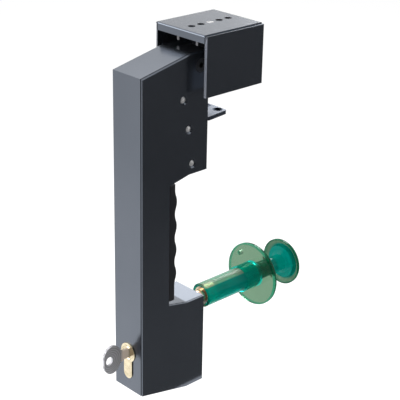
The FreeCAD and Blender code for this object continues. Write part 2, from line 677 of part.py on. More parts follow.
def make_bracket():
    """The zinc-plated base bracket: face plate, two ears and a tongue over the door's edge."""
    body = new_body("Bracket")
    plate = sketch_on(body, "XZ")
    draw_box(plate, "-bracket_width / 2", "bracket_width / 2", "-bracket_foot", "bracket_gauge")
    pad(body, plate, "bracket_gauge")
    tongue = sketch_on(body, "XY")
    draw_loop(tongue, [
        ("-bracket_width / 2", "-bracket_gauge"), ("bracket_width / 2", "-bracket_gauge"),
        ("bracket_width / 2", "0"), ("tongue_width / 2", "bracket_gauge"),
        ("tongue_tip / 2", "tongue_reach"), ("-tongue_tip / 2", "tongue_reach"),
        ("-tongue_width / 2", "bracket_gauge"), ("-bracket_width / 2", "0")])
    pad(body, tongue, "tongue_gauge")
    dress(body, "Fillet", "tongue_corner", lambda edge: ends_at(edge, 1, "tongue_reach")
          and edge.BoundBox.ZLength > amount("tongue_gauge") / 2)
    for side in ("-bracket_width / 2", "ear_inside"):
        ear = sketch_on(body, "YZ", side)
        draw_loop(ear, [
            ("-pivot_back - ear_round", "pivot_height", "-pivot_back", "pivot_height", -1),
            ("-pivot_back + ear_round", "pivot_height"), ("-pivot_back + ear_round", "-bracket_foot"),
            ("-ear_toe", "-bracket_foot")])
        pad(body, ear, "bracket_gauge")
    bores = sketch_on(body, "YZ")
    draw_circle(bores, "-pivot_back", "pivot_height", "bush_radius")
    draw_circle(bores, "-pivot_back + spring_radius", "pivot_height - spring_leg", "spring_wire + running_gap")
    pocket(body, bores)
    drill(body, "XZ", "-bracket_gauge", "face_hole", "face_sink",
          [("0", "-face_hole_top"), ("0", "-face_hole_top - face_hole_pitch")])
    drill(body, "XY", "tongue_gauge", "tongue_hole", "tongue_sink",
          [("-tongue_hole_pitch / 2", "tongue_hole_back"), ("tongue_hole_pitch / 2", "tongue_hole_back")])
    return keep(body, "base_bracket")


def drill(body, plane, face, hole, sink, centres):
    """Countersunk holes through a plate. Face is where their wide side lies."""
    axis = {"XY": 2, "XZ": 1, "YZ": 0}[plane]
    rings = sketch_on(body, plane)
    for across, up in centres:
        draw_circle(rings, across, up, hole)
    pocket(body, rings)
    dress(body, "Chamfer", "%s - (%s)" % (sink, hole), lambda edge: (
        ends_at(edge, axis, face) and is_ring(edge, hole)))


def make_bushes():
    """Flanged bearing bushes in the bracket's ears."""
    made = []
    for side, turn in (("right", ALONG_X), ("left", (FreeCAD.Vector(0, 1, 0), -90))):
        sign = "" if side == "right" else "-"
        sleeve = solid("Cylinder", side + "_sleeve", turn, Radius="bush_radius", Height="bracket_gauge",
                       x=sign + "(ear_inside)", y="-pivot_back", z="pivot_height")
        flange = solid("Cylinder", side + "_flange", turn, Radius="bush_flange", Height="bush_lip",
                       x=sign + "(bracket_width / 2)", y="-pivot_back", z="pivot_height")
        bore = solid("Cylinder", side + "_bore", turn, Radius="pivot_radius + running_gap",
                     Height="lever_width", x="0", y="-pivot_back", z="pivot_height")
        made.append(cut(side + "_bush", fuse(side + "_bush_blank", [sleeve, flange]), bore))
    return group("pivot_bushes", made)


def make_hook():
    """The latch hook: a hub on the pivot, a boss on the upper pillar and an arm under the roller."""
    body = new_body("Hook")
    rear = "hook_face + hook_tip + hook_ramp"
    arm = sketch_on(body, "YZ")
    draw_loop(arm, [
        ("-pivot_back", "pivot_height + hook_eye - 2"),
        ("-upper_pillar_back - hook_boss + 2", "upper_pillar_height"),
        ("-upper_pillar_back", "upper_pillar_height - hook_boss + 2"),
        ("-pivot_back", "hook_floor - hook_arm - 2"),
        ("hook_face", "hook_floor - hook_arm"),
        (rear, "hook_floor - hook_arm + 2"),
        (rear, "hook_floor - 3"),
        ("hook_face + hook_tip", "hook_peak"),
        ("hook_face", "hook_peak"),
        ("hook_face", "hook_floor"),
        ("-pivot_back + hook_eye", "hook_floor"),
    ])
    pad(body, arm, "hook_width", both_ways=True)
    for across, up, radius, width in (
            ("-pivot_back", "pivot_height", "hook_eye", "hook_width"),
            ("-upper_pillar_back", "upper_pillar_height", "hook_boss", "hook_width"),
            ("-pivot_back", "pivot_height", "hook_sleeve", "2 * ear_inside - 2 * seat_gap")):
        hub = sketch_on(body, "YZ")
        draw_circle(hub, across, up, radius)
        pad(body, hub, width, both_ways=True)
    bores = sketch_on(body, "YZ")
    draw_circle(bores, "-pivot_back", "pivot_height", "pivot_radius + running_gap")
    draw_circle(bores, "-upper_pillar_back", "upper_pillar_height", "pillar_radius + running_gap")
    draw_circle(bores, "-pivot_back - spring_radius", "pivot_height - spring_leg", "spring_wire + running_gap")
    pocket(body, bores)
    dress(body, "Fillet", "hook_tip * 0.6", lambda edge: (
        ends_at(edge, 1, "hook_face") and ends_at(edge, 2, "hook_floor")))
    return keep(body, "latch_hook")


def make_springs():
    """Two torsion springs on the hook's sleeve. Each hooks into an ear and into the hook."""
    radius = amount("spring_radius")
    wire = amount("spring_wire")
    pitch = amount("spring_pitch")
    turns = amount("spring_turns")
    leg = amount("spring_leg")
    start = amount("hook_width / 2 + seat_gap + spring_wire")
    rise = pitch * turns
    ear = amount("bracket_width / 2 - running_gap") - start
    helix = Part.makeHelix(pitch, rise, radius)
    ring = Part.makeCircle(wire, FreeCAD.Vector(radius, 0, 0), FreeCAD.Vector(0, 1, 0))
    coil = Part.Wire(helix).makePipeShell([Part.Wire(ring)], True, True)
    pieces = []
    for across, height, reach in ((radius, 0, -amount("spring_hold") - wire), (-radius, rise, ear - rise)):
        corner = FreeCAD.Vector(across, -leg, height)
        pieces.append(Part.makeCylinder(wire, leg, FreeCAD.Vector(across, 0, height), FreeCAD.Vector(0, -1, 0)))
        pieces.append(Part.makeSphere(wire, corner))
        along = FreeCAD.Vector(0, 0, 1 if reach > 0 else -1)
        pieces.append(Part.makeCylinder(wire, abs(reach), corner, along))
    spring = coil.fuse(pieces).mirror(FreeCAD.Vector(), FreeCAD.Vector(1, 0, 0))
    spring.rotate(FreeCAD.Vector(), FreeCAD.Vector(0, 1, 0), 90)
    spring.rotate(FreeCAD.Vector(), FreeCAD.Vector(1, 0, 0), 90)
    spring.translate(FreeCAD.Vector(start, -amount("pivot_back"), amount("pivot_height")))
    thing = document.addObject("Part::Feature", "return_springs")
    thing.Shape = Part.makeCompound([spring, spring.mirror(FreeCAD.Vector(), FreeCAD.Vector(1, 0, 0))])
    return keep(thing, "return_springs")


def make_hood():
    """The keeper hood on the frame: a folded box, open below and in front under its lip."""
    body = new_body("Hood")
    outer = sketch_on(body, "XY", "hood_top - hood_height")
    draw_box(outer, "-hood_width / 2", "hood_width / 2", "-hood_front", "hood_back")
    pad(body, outer, "hood_height")
    inner = sketch_on(body, "XY", "hood_ceiling")
    draw_box(inner, "-hood_width / 2 + hood_gauge", "hood_width / 2 - hood_gauge",
             "-hood_front + hood_gauge", "hood_back - hood_gauge")
    pocket(body, inner, "hood_height")
    mouth = sketch_on(body, "XZ", "hood_front")
    draw_box(mouth, "-hood_width / 2 + hood_gauge", "hood_width / 2 - hood_gauge",
             "hood_top - hood_height - 1", "hood_top - hood_lip")
    pocket(body, mouth, "2 * hood_gauge")
    dress(body, "Fillet", "hood_fold", lambda edge: (
        ends_at(edge, 2, "hood_top") or edge.BoundBox.ZLength > amount("hood_height") - 1
        and (ends_at(edge, 1, "hood_back"))))
    drill(body, "XY", "hood_top", "setting_shank + 2 * running_gap", "hood_hole",
          [("0", "hood_hole_middle + %d * hood_hole_pitch" % step) for step in range(-2, 3)])
    middle = "hood_top - hood_height / 2 - 1"
    drill(body, "XZ", "hood_back - hood_gauge", "frame_hole", "frame_hole + 1.5",
          [("%s frame_hole_span / 2" % across, "%s %s frame_hole_rise / 2" % (middle, up))
           for across in "-+" for up in "-+"])
    return keep(body, "keeper_hood")


def make_carriage():
    """The striker carriage: a plate under the hood's top with two cheeks for the roller."""
    body = new_body("Carriage")
    roof = sketch_on(body, "XY", "hood_ceiling - carriage_gauge")
    draw_box(roof, "-carriage_width / 2", "carriage_width / 2", "-carriage_front", "carriage_back")
    pad(body, roof, "carriage_gauge")
    for side in ("-carriage_width / 2", "cheek_inside"):
        cheek = sketch_on(body, "YZ", side)
        draw_loop(cheek, [
            ("-carriage_front", "hood_ceiling"), ("-carriage_front", "carriage_skirt"),
            ("roller_back - cheek_round - 3", "carriage_skirt"),
            ("roller_back - cheek_round", "roller_height", "roller_back", "roller_height", 1),
            ("roller_back + cheek_round", "roller_height"),
            ("roller_back + cheek_round + 3", "carriage_skirt"),
            ("carriage_back", "carriage_skirt + 3"), ("carriage_back", "hood_ceiling")])
        pad(body, cheek, "carriage_gauge")
    bores = sketch_on(body, "YZ")
    draw_circle(bores, "roller_back", "roller_height", "axle_radius")
    pocket(body, bores)
    tapped = sketch_on(body, "XY")
    draw_circle(tapped, "0", "hood_hole_middle", "setting_shank")
    pocket(body, tapped)
    return keep(body, "striker_carriage")


def make_roller():
    """The striker roller and the riveted axle it turns on."""
    barrel = solid("Cylinder", "roller_barrel", ALONG_X, Radius="roller_radius", Height="roller_length",
                   x="-roller_length / 2", y="roller_back", z="roller_height")
    bore = solid("Cylinder", "roller_bore", ALONG_X, Radius="axle_radius + running_gap",
                 Height="roller_length + 2", x="-roller_length / 2 - 1", y="roller_back", z="roller_height")
    keep(cut("Roller", barrel, bore), "striker_roller")
    shaft = solid("Cylinder", "axle_shaft", ALONG_X, Radius="axle_radius", Height="carriage_width",
                  x="-carriage_width / 2", y="roller_back", z="roller_height")
    ends = [solid("Cylinder", "axle_end_%d" % number, ALONG_X, Radius="axle_head", Height="axle_lip",
                  x=place, y="roller_back", z="roller_height")
            for number, place in enumerate(("-carriage_width / 2 - axle_lip", "carriage_width / 2"))]
    keep(fuse("Axle", [shaft] + ends), "roller_axle")


def make_setting_screw():
    """The countersunk screw that holds the carriage in one of the hood's five holes."""
    depth = "hood_hole - setting_shank - 2 * running_gap"
    head = solid("Cone", "setting_head", (FreeCAD.Vector(1, 0, 0), 180), Radius1="hood_hole - running_gap",
                 Radius2="setting_shank", Height=depth, x="0", y="hood_hole_middle", z="hood_top")
    shank = solid("Cylinder", "setting_thread", Radius="setting_shank", Height="setting_length",
                  x="0", y="hood_hole_middle", z="hood_top - setting_length")
    slot = solid("Box", "setting_slot", Length="2 * hood_hole", Width="recess_width", Height="recess_depth",
                 x="-hood_hole", y="hood_hole_middle - recess_width / 2", z="hood_top - recess_depth")
    return keep(cut("SettingScrew", fuse("setting_blank", [head, shank]), slot), "setting_screw")


def make_housing():
    """The die-cast lock housing, with the cylinder's bore, the cam's pocket and the thrust arm."""
    body = new_body("Housing")
    nose = sketch_on(body, "YZ", "-wall_inside")
    draw_box(nose, "inner_front", "housing_step", "-housing_bottom", "-housing_top")
    pad(body, nose, "plate_inside + wall_inside")
    block = sketch_on(body, "YZ", "-housing_cheek")
    draw_loop(block, [
        ("inner_front", "-housing_bottom"), ("housing_end", "-housing_bottom"),
        ("housing_end", "-housing_top - thrust_height"), ("-thrust_back", "-housing_top - thrust_height"),
        ("-thrust_back", "-housing_top"), ("inner_front", "-housing_top")])
    pad(body, block, "plate_inside + housing_cheek")
    bore = sketch_on(body, "XZ")
    draw_cylinder_profile(bore, "bore_leg", "bore_shoulder")
    pocket(body, bore)
    recess = sketch_on(body, "XZ", "-(cam_middle - cam_width / 2 - cam_gap)")
    draw_box(recess, "-wall_inside", "cam_lobe / 2 + 2 * cam_gap",
             "-cylinder_axis - cam_reach - 2 * cam_gap", "-cylinder_axis + cam_lobe / 2 + 2 * cam_gap")
    pocket(body, recess, "cam_width + 2 * cam_gap")
    screw = sketch_on(body, "YZ", "plate_inside")
    draw_circle(screw, "cam_middle", "fixing_depth", "fixing_radius + running_gap")
    pocket(body, screw, "plate_inside")
    seat = sketch_on(body, "YZ", "plate_inside")
    draw_circle(seat, "cam_middle", "fixing_depth", "fixing_head + running_gap")
    pocket(body, seat, "plate_inside - fixing_sink")
    threads = sketch_on(body, "YZ", "-wall_inside")
    for level in HOUSING_SCREWS:
        draw_circle(threads, "housing_step - housing_nose / 2", level, "screw_radius")
    pocket(body, threads, "screw_length - sheet_gauge", backwards=True)
    return keep(body, "lock_housing")


def make_cylinder():
    """The brass lock cylinder with its stepped bore and the gap for the cam."""
    body = new_body("Cylinder")
    outline = sketch_on(body, "XZ", "-(cylinder_end)")
    draw_cylinder_profile(outline, "cylinder_leg / 2", "shoulder")
    pad(body, outline, "cylinder_length")
    gap = sketch_on(body, "XZ", "-(cam_middle - cam_width / 2)")
    draw_box(gap, "-cylinder_round - 1", "cylinder_round + 1",
             "-cylinder_axis - cam_reach - 2 * cam_gap", "-cylinder_axis + cylinder_round + 1")
    pocket(body, gap, "cam_width")
    barrel = sketch_on(body, "XZ", "-(cylinder_front)")
    draw_circle(barrel, "0", "-cylinder_axis", "plug_radius + running_gap")
    pocket(body, barrel, "cam_middle - cam_width / 2 - cylinder_front")
    tail = sketch_on(body, "XZ")
    draw_circle(tail, "0", "-cylinder_axis", "plug_tail + running_gap")
    pocket(body, tail)
    thread = sketch_on(body, "YZ")
    draw_circle(thread, "cam_middle", "fixing_depth", "fixing_radius")
    pocket(body, thread)
    return keep(body, "lock_cylinder")


def make_fixing_screw():
    """The screw through the housing into the cylinder's leg, its head sunk under the side plate."""
    shank = solid("Cylinder", "fixing_shank", ALONG_X, Radius="fixing_radius",
                  Height="fixing_sink + cylinder_leg / 2 - fixing_short",
                  x="fixing_short - cylinder_leg / 2", y="cam_middle", z="fixing_depth")
    head = solid("Cylinder", "fixing_cap", ALONG_X, Radius="fixing_head", Height="fixing_height",
                 x="fixing_sink", y="cam_middle", z="fixing_depth")
    slot = solid("Box", "fixing_slot", Length="recess_depth", Width="recess_width", Height="2 * fixing_head",
                 x="fixing_sink + fixing_height - recess_depth", y="cam_middle - recess_width / 2",
                 z="fixing_depth - fixing_head")
    return keep(cut("FixingScrew", fuse("fixing_blank", [shank, head]), slot), "cylinder_screw")


def make_plug():
    """The plug that the key turns, and the cam on its tail."""
    barrel = solid("Cylinder", "plug_barrel", ALONG_Y, Radius="plug_radius",
                   Height="cam_middle - cam_width / 2 - cylinder_front - cam_gap",
                   x="0", y="cylinder_front", z="-cylinder_axis")
    tail = solid("Cylinder", "plug_tail_end", ALONG_Y, Radius="plug_tail", Height="cylinder_length - cam_gap",
                 x="0", y="cylinder_front", z="-cylinder_axis")
    keyway = solid("Box", "keyway", Length="keyway_width", Width="keyway_depth", Height="keyway_height",
                   x="-keyway_width / 2", y="cylinder_front", z="-cylinder_axis - keyway_height / 2")
    keep(cut("Plug", fuse("plug_blank", [barrel, tail]), keyway), "cylinder_plug")
    body = new_body("Cam")
    profile = sketch_on(body, "XZ", "-(cam_middle + cam_width / 2 - cam_gap)")
    half = "cam_lobe / 2"
    neck = "sqrt(cam_hub ^ 2 - cam_lobe ^ 2 / 4)"
    draw_loop(profile, [
        ("-" + half, "-cylinder_axis - " + neck, "0", "-cylinder_axis", -1),
        (half, "-cylinder_axis - " + neck),
        (half, "-cylinder_axis - sqrt(cam_reach ^ 2 - cam_lobe ^ 2 / 4)", "0", "-cylinder_axis", -1),
        ("-" + half, "-cylinder_axis - sqrt(cam_reach ^ 2 - cam_lobe ^ 2 / 4)")])
    pad(body, profile, "cam_width - 2 * cam_gap")
    bore = sketch_on(body, "XZ")
    draw_circle(bore, "0", "-cylinder_axis", "plug_tail")
    pocket(body, bore)
    return keep(body, "lock_cam")


def make_key():
    """The flat key: an oval bow with a hole, a short neck and the blade in the keyway."""
    body = new_body("Key")
    centre = "cylinder_front - bow_neck - bow_length / 2"
    flat = "bow_height - bow_length"
    end = "bow_length / 2"
    bow = sketch_on(body, "YZ")
    draw_loop(bow, [
        ("%s - %s" % (centre, end), "-cylinder_axis - (%s) / 2" % flat,
         centre, "-cylinder_axis - (%s) / 2" % flat, 1),
        ("%s + %s" % (centre, end), "-cylinder_axis - (%s) / 2" % flat),
        ("%s + %s" % (centre, end), "-cylinder_axis + (%s) / 2" % flat,
         centre, "-cylinder_axis + (%s) / 2" % flat, 1),
        ("%s - %s" % (centre, end), "-cylinder_axis + (%s) / 2" % flat)])
    pad(body, bow, "keyway_width - 2 * key_gap", both_ways=True)
    blade = sketch_on(body, "YZ")
    draw_box(blade, centre, "cylinder_front + keyway_depth - key_gap",
             "-cylinder_axis - keyway_height / 2 + key_gap", "-cylinder_axis + keyway_height / 2 - key_gap")
    pad(body, blade, "keyway_width - 2 * key_gap", both_ways=True)
    hole = sketch_on(body, "YZ")
    draw_circle(hole, "cylinder_front - bow_neck - bow_length + bow_hole_edge", "-cylinder_axis", "bow_hole")
    pocket(body, hole)
    return keep(body, "key")


def make_staple():
    """The catch on the door that the cam locks into: a foot and a slotted arm."""
    body = new_body("Staple")
    middle = "-cylinder_axis"
    foot = sketch_on(body, "XZ")
    draw_box(foot, "staple_face", "staple_face + staple_foot",
             "%s - staple_foot / 2" % middle, "%s + staple_foot / 2" % middle)
    pad(body, foot, "staple_gauge")
    arm = sketch_on(body, "YZ", "staple_face")
    draw_box(arm, "-staple_reach", "0", "%s - staple_arm / 2" % middle, "%s + staple_arm / 2" % middle)
    pad(body, arm, "staple_gauge")
    slot = sketch_on(body, "YZ", "staple_face")
    draw_box(slot, "cam_middle - cam_width / 2 - cam_gap", "cam_middle + cam_width / 2 + cam_gap",
             "%s - slot_drop" % middle, "%s + cam_lobe / 2 + 2 * cam_gap" % middle)
    pocket(body, slot, "staple_gauge", backwards=True)
    across = "staple_face + staple_foot / 2 + staple_gauge / 2"
    drill(body, "XZ", "-staple_gauge", "staple_hole", "staple_hole + 1.5",
          [(across, "%s %s staple_foot / 4" % (middle, up)) for up in "-+"])
    return keep(body, "lock_staple")


def make_tube():
    """The green release tube through the door and the brass guide in its end."""
    body = new_body("Tube", "-release_axis")
    wall = sketch_on(body, "YZ")
    draw_loop(wall, [
        ("tube_start", "tube_bore"), ("tube_end - tube_mouth", "tube_bore"),
        ("tube_end", "tube_bore + tube_mouth"), ("tube_end", "tube_radius"), ("tube_start", "tube_radius")])
    revolve(body, wall)
    keep(body, "release_tube")
    guide = new_body("Guide", "-release_axis")
    wall = sketch_on(guide, "YZ")
    draw_box(wall, "tube_start", "tube_start + guide_length", "rod_radius + running_gap", "tube_bore")
    revolve(guide, wall)
    keep(guide, "rod_guide")


def make_flange():
    """The inside flange with its spigot and one screw hole."""
    body = new_body("Flange", "-release_axis")
    profile = sketch_on(body, "YZ")
    draw_loop(profile, [
        ("door_thickness - spigot_length", "tube_radius"), ("tube_end", "tube_radius"),
        ("tube_end", "flange_radius"), ("door_thickness", "flange_radius"),
        ("door_thickness", "spigot_radius"), ("door_thickness - spigot_length", "spigot_radius")])
    revolve(body, profile)
    dress(body, "Fillet", "flange_round", lambda edge: is_ring(edge, "flange_radius"))
    hole = sketch_on(body, "XZ")
    draw_circle(hole, "flange_hole_place * cos(flange_hole_turn * 1 deg)",
                "flange_hole_place * sin(flange_hole_turn * 1 deg)", "flange_hole")
    pocket(body, hole)
    return keep(body, "inside_flange")


def make_release():
    """The brass push rod and the green knob on its end."""
    rod = new_body("Rod", "-release_axis")
    profile = sketch_on(rod, "YZ")
    drop = "rod_dome - sqrt(rod_dome ^ 2 - rod_radius ^ 2)"
    draw_loop(profile, [
        ("rod_tip", "0"), ("rod_end + tenon_length", "0"), ("rod_end + tenon_length", "rod_tenon"),
        ("rod_end", "rod_tenon"), ("rod_end", "rod_radius"),
        ("rod_tip + " + drop, "rod_radius", "rod_tip + rod_dome", "0", 1)])
    revolve(rod, profile)
    keep(rod, "release_rod")
    knob = new_body("Knob", "-release_axis")
    profile = sketch_on(knob, "YZ")
    draw_loop(profile, [
        ("rod_end", "rod_tenon"), ("rod_end + tenon_length", "rod_tenon"), ("rod_end + tenon_length", "0"),
        ("knob_top", "0", "knob_top - dome_bend", "0", 1),
        ("knob_shoulder", "knob_radius"), ("knob_face + knob_rim", "knob_radius"),
        ("knob_face + knob_rim", "knob_radius - knob_wall / 2"),
        ("knob_shoulder + knob_wall / 2", "knob_core + knob_wall / 2"),
        ("knob_face + knob_rim", "knob_core"), ("knob_face", "knob_core - knob_rim"),
        ("knob_face", "stem_radius + knob_flare"), ("knob_face - knob_wall", "stem_radius"),
        ("rod_end", "stem_radius")])
    revolve(knob, profile)
    dress(knob, "Fillet", "knob_round", lambda edge: (
        is_ring(edge, "knob_radius") and ends_at(edge, 1, "knob_shoulder")))
    keep(knob, "release_knob")


make_channel()
make_side_plate()
make_grip()
make_pillars()
make_screws()
make_pivot_pin()
make_bracket()
make_bushes()
make_hook()
make_springs()
make_hood()
make_carriage()
make_roller()
make_setting_screw()
make_housing()
make_cylinder()
make_fixing_screw()
make_plug()
make_key()
make_staple()
make_tube()
make_flange()
make_release()

document.recompute()
for thing in document.Objects:
    if "Invalid" in thing.State or "Error" in thing.State:
        raise RuntimeError(thing.Label + ": " + str(thing.State))

os.makedirs("parts", exist_ok=True)
for label, thing in nodes.items():
    shape = thing.Shape
    if shape.isNull() or not shape.isValid() or not shape.Solids:
        raise RuntimeError(label + " has no valid solid")
    shape.exportStep(os.path.join("parts", label + ".step"))
    print("%-18s %d solid(s) %9.1f mm3" % (label, len(shape.Solids), shape.Volume))
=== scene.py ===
# %% [markdown]
# # A cold room door latch
# The latch hangs on the outside of a heavy insulated door. Its solids come from the workshop
# model, already in place and in metres, so this lesson only dresses them: it sets the camera and
# the studio, gives each piece its finish, and remakes the few pieces that need finer work.
# The door's outer face is the plane Y = 0, X points to the right and Z points up.

# %% Load the model
import bpy, bmesh, math
from mathutils import Matrix, Vector


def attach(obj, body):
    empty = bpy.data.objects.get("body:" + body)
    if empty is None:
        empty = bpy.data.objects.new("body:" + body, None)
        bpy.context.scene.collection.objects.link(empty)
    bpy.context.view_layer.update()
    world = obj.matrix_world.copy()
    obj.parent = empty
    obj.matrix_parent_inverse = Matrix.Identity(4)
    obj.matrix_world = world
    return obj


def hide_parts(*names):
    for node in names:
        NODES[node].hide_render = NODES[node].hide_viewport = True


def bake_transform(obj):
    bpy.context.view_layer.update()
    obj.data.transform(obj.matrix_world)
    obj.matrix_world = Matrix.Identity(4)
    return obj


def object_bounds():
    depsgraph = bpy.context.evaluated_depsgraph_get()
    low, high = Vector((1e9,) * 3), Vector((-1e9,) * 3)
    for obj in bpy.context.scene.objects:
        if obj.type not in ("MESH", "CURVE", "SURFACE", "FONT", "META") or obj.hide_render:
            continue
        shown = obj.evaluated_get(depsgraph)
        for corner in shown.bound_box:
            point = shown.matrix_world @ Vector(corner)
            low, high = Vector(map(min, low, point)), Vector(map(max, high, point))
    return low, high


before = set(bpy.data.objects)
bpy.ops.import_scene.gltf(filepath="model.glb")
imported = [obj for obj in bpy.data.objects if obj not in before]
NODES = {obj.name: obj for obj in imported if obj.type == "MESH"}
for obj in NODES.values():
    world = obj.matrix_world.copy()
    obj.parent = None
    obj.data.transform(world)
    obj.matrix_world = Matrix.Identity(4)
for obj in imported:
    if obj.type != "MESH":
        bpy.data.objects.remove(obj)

bpy.context.view_layer.update()
model_box = [list(corner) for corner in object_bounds()]
print("nodes:", len(NODES), "box:", [[round(v, 4) for v in corner] for corner in model_box])

# %% [markdown]
# ## The camera
# The photograph looks down on the latch from the outside, over its right shoulder. The direction
# was found by matching corners of the hood, the lever and the lock. A camera looks along its own
# minus Z, so its three axes are worked out from the heading, the tilt and a slight roll, and then
# set as the columns of its matrix. That keeps the view exact, with no target object to keep. A
# short helper links it to the scene, and every object after it too.

# %% Camera
def add_to_scene(name, data):
    """An object made of that data, linked to the scene and left at the origin."""
    thing = bpy.data.objects.new(name, data)
    bpy.context.scene.collection.objects.link(thing)
    return thing


HEADING, TILT, ROLL = (math.radians(angle) for angle in (46.175, 23.259, 1.133))
VIEWPOINT = (0.65721, -0.62178, 0.31526)
ahead = Vector((-math.sin(HEADING) * math.cos(TILT), math.cos(HEADING) * math.cos(TILT),
                -math.sin(TILT)))
level = Vector((math.cos(HEADING), math.sin(HEADING), 0))
above = level.cross(ahead)
across = math.cos(ROLL) * level + math.sin(ROLL) * above
upright = math.cos(ROLL) * above - math.sin(ROLL) * level

lens = bpy.data.cameras.new("photograph_lens")
lens.sensor_fit, lens.sensor_width, lens.lens = "HORIZONTAL", 36, 106.56
lens.clip_start, lens.clip_end = 0.05, 50
viewer = add_to_scene("photograph_view", lens)
viewer.matrix_world = Matrix.Translation(VIEWPOINT) @ Matrix(
    (across, upright, -ahead)).transposed().to_4x4()
bpy.context.scene.camera = viewer
print("camera looks along", [round(v, 3) for v in ahead])

# %% [markdown]
# ## Small helpers for node trees
# Every finish below is a node tree, and a few short helpers keep the recipes readable: one adds a
# node and fills its sockets, one maps a range, one mixes two tones, and one joins sockets.

# %% Node helpers
def add_node(tree, kind, label=None, second=None, **settings):
    """A node of that kind. A setting is a property or, with an underscore before it, a socket.
    A Math node's sockets share one name, so second= fills its second socket."""
    node = tree.nodes.new(kind)
    if label:
        node.label = label
    for name, value in settings.items():
        if name.startswith("_"):
            node.inputs[name[1:].replace("_", " ")].default_value = value
        else:
            setattr(node, name, value)
    if second is not None:
        node.inputs[1].default_value = second
    return node


def add_range(tree, label, low=0.0, high=1.0, start=0.0, end=1.0):
    """Turns low into start and high into end, evenly between and level beyond."""
    return add_node(tree, "ShaderNodeMapRange", label, _From_Min=low, _From_Max=high,
                    _To_Min=start, _To_Max=end)


def add_mix(tree, label, **colours):
    """Mixes two colours, A and B. Each is given here or left for a link."""
    node = add_node(tree, "ShaderNodeMix", label, data_type="RGBA")
    for title, colour in colours.items():
        node.inputs[title].default_value = (*colour, 1)
    return node


def join(tree, *pairs):
    for start, end in pairs:
        tree.links.new(start, end)


# %% [markdown]
# ## Helpers for node groups
# An effect that several finishes share is a shader node group: it is made once, with named
# sockets, and placed in each material with its own amounts. One helper opens a group with those
# sockets, and one places it.

# %% Group helpers
def open_group(name, inputs, outputs):
    """A node group with float sockets; inputs is a dict of names and amounts."""
    tree = bpy.data.node_groups.new(name, "ShaderNodeTree")
    for title, amount in inputs.items():
        kind = "NodeSocketVector" if title == "Vector" else "NodeSocketFloat"
        socket = tree.interface.new_socket(title, in_out="INPUT", socket_type=kind)
        if kind == "NodeSocketFloat":
            socket.default_value = amount
    for title in outputs:
        tree.interface.new_socket(title, in_out="OUTPUT", socket_type="NodeSocketFloat")
    return tree, tree.nodes.new("NodeGroupInput"), tree.nodes.new("NodeGroupOutput")


def place_group(tree, group, vector, **amounts):
    """A copy of the group in a material's tree, with its own amounts."""
    node = tree.nodes.new("ShaderNodeGroup")
    node.node_tree = group
    for name, value in amounts.items():
        node.inputs[name].default_value = value
    join(tree, (vector, node.inputs["Vector"]))
    return node


# %% [markdown]
# ## Grain
# The first of three surface effects that come back on many pieces: the fine uneven skin of a
# sprayed or moulded surface. It could be one noise, but a real skin has a slower orange peel under
# it, so two are added, the second with patches about three times as wide. Each effect reads
# object coordinates, which are in metres, so the scales are large numbers.

# %% Grain
PEEL_SHARE = 0.3
grain, g_in, g_out = open_group("Grain", {"Vector": 0, "Scale": 2500}, ["Height", "Mask"])
fine = add_node(grain, "ShaderNodeTexNoise", "fine skin", _Detail=3, _Roughness=0.55)
coarse = add_node(grain, "ShaderNodeTexNoise", "orange peel", _Detail=1, _Roughness=0.5)
peel_scale = add_node(grain, "ShaderNodeMath", "peel is wider", PEEL_SHARE, operation="MULTIPLY")
both = add_node(grain, "ShaderNodeMath", "skin over peel", operation="ADD")
join(grain,
     (g_in.outputs["Vector"], fine.inputs["Vector"]),
     (g_in.outputs["Scale"], fine.inputs["Scale"]),
     (g_in.outputs["Vector"], coarse.inputs["Vector"]),
     (g_in.outputs["Scale"], peel_scale.inputs[0]),
     (peel_scale.outputs[0], coarse.inputs["Scale"]),
     (fine.outputs["Fac"], both.inputs[0]),
     (coarse.outputs["Fac"], both.inputs[1]),
     (both.outputs[0], g_out.inputs["Height"]),
     (coarse.outputs["Fac"], g_out.inputs["Mask"]))
print("group:", grain.name, [item.name for item in grain.interface.items_tree])

# %% [markdown]
# ## Brushing
# The long scratches that a belt or a turning tool leaves. A noise is squeezed across the piece and
# drawn out along it, by multiplying its coordinates before it reads them, and then sharpened so
# that single scratches stand out.

# %% Brushing
brushing, b_in, b_out = open_group("Brushing", {"Vector": 0, "Along": 40, "Across": 9000},
                                   ["Height", "Mask"])
stretch = add_node(brushing, "ShaderNodeCombineXYZ")
scratch_space = add_node(brushing, "ShaderNodeVectorMath", operation="MULTIPLY")
scratches = add_node(brushing, "ShaderNodeTexNoise", "scratches", _Scale=1, _Detail=4,
                     _Roughness=0.6)
sharpen = add_range(brushing, "sharper", low=0.3, high=0.7)
join(brushing,
     (b_in.outputs["Along"], stretch.inputs["Z"]),
     (b_in.outputs["Across"], stretch.inputs["X"]),
     (b_in.outputs["Across"], stretch.inputs["Y"]),
     (b_in.outputs["Vector"], scratch_space.inputs[0]),
     (stretch.outputs[0], scratch_space.inputs[1]),
     (scratch_space.outputs[0], scratches.inputs["Vector"]),
     (scratches.outputs["Fac"], sharpen.inputs["Value"]),
     (sharpen.outputs["Result"], b_out.inputs["Height"]),
     (scratches.outputs["Fac"], b_out.inputs["Mask"]))
print("group:", brushing.name, [item.name for item in brushing.interface.items_tree])

# %% [markdown]
# ## Cloud
# The slow drift of tone over a plated or coated sheet. A noise seldom reaches its ends, so its
# middle range is spread out over the whole mask.

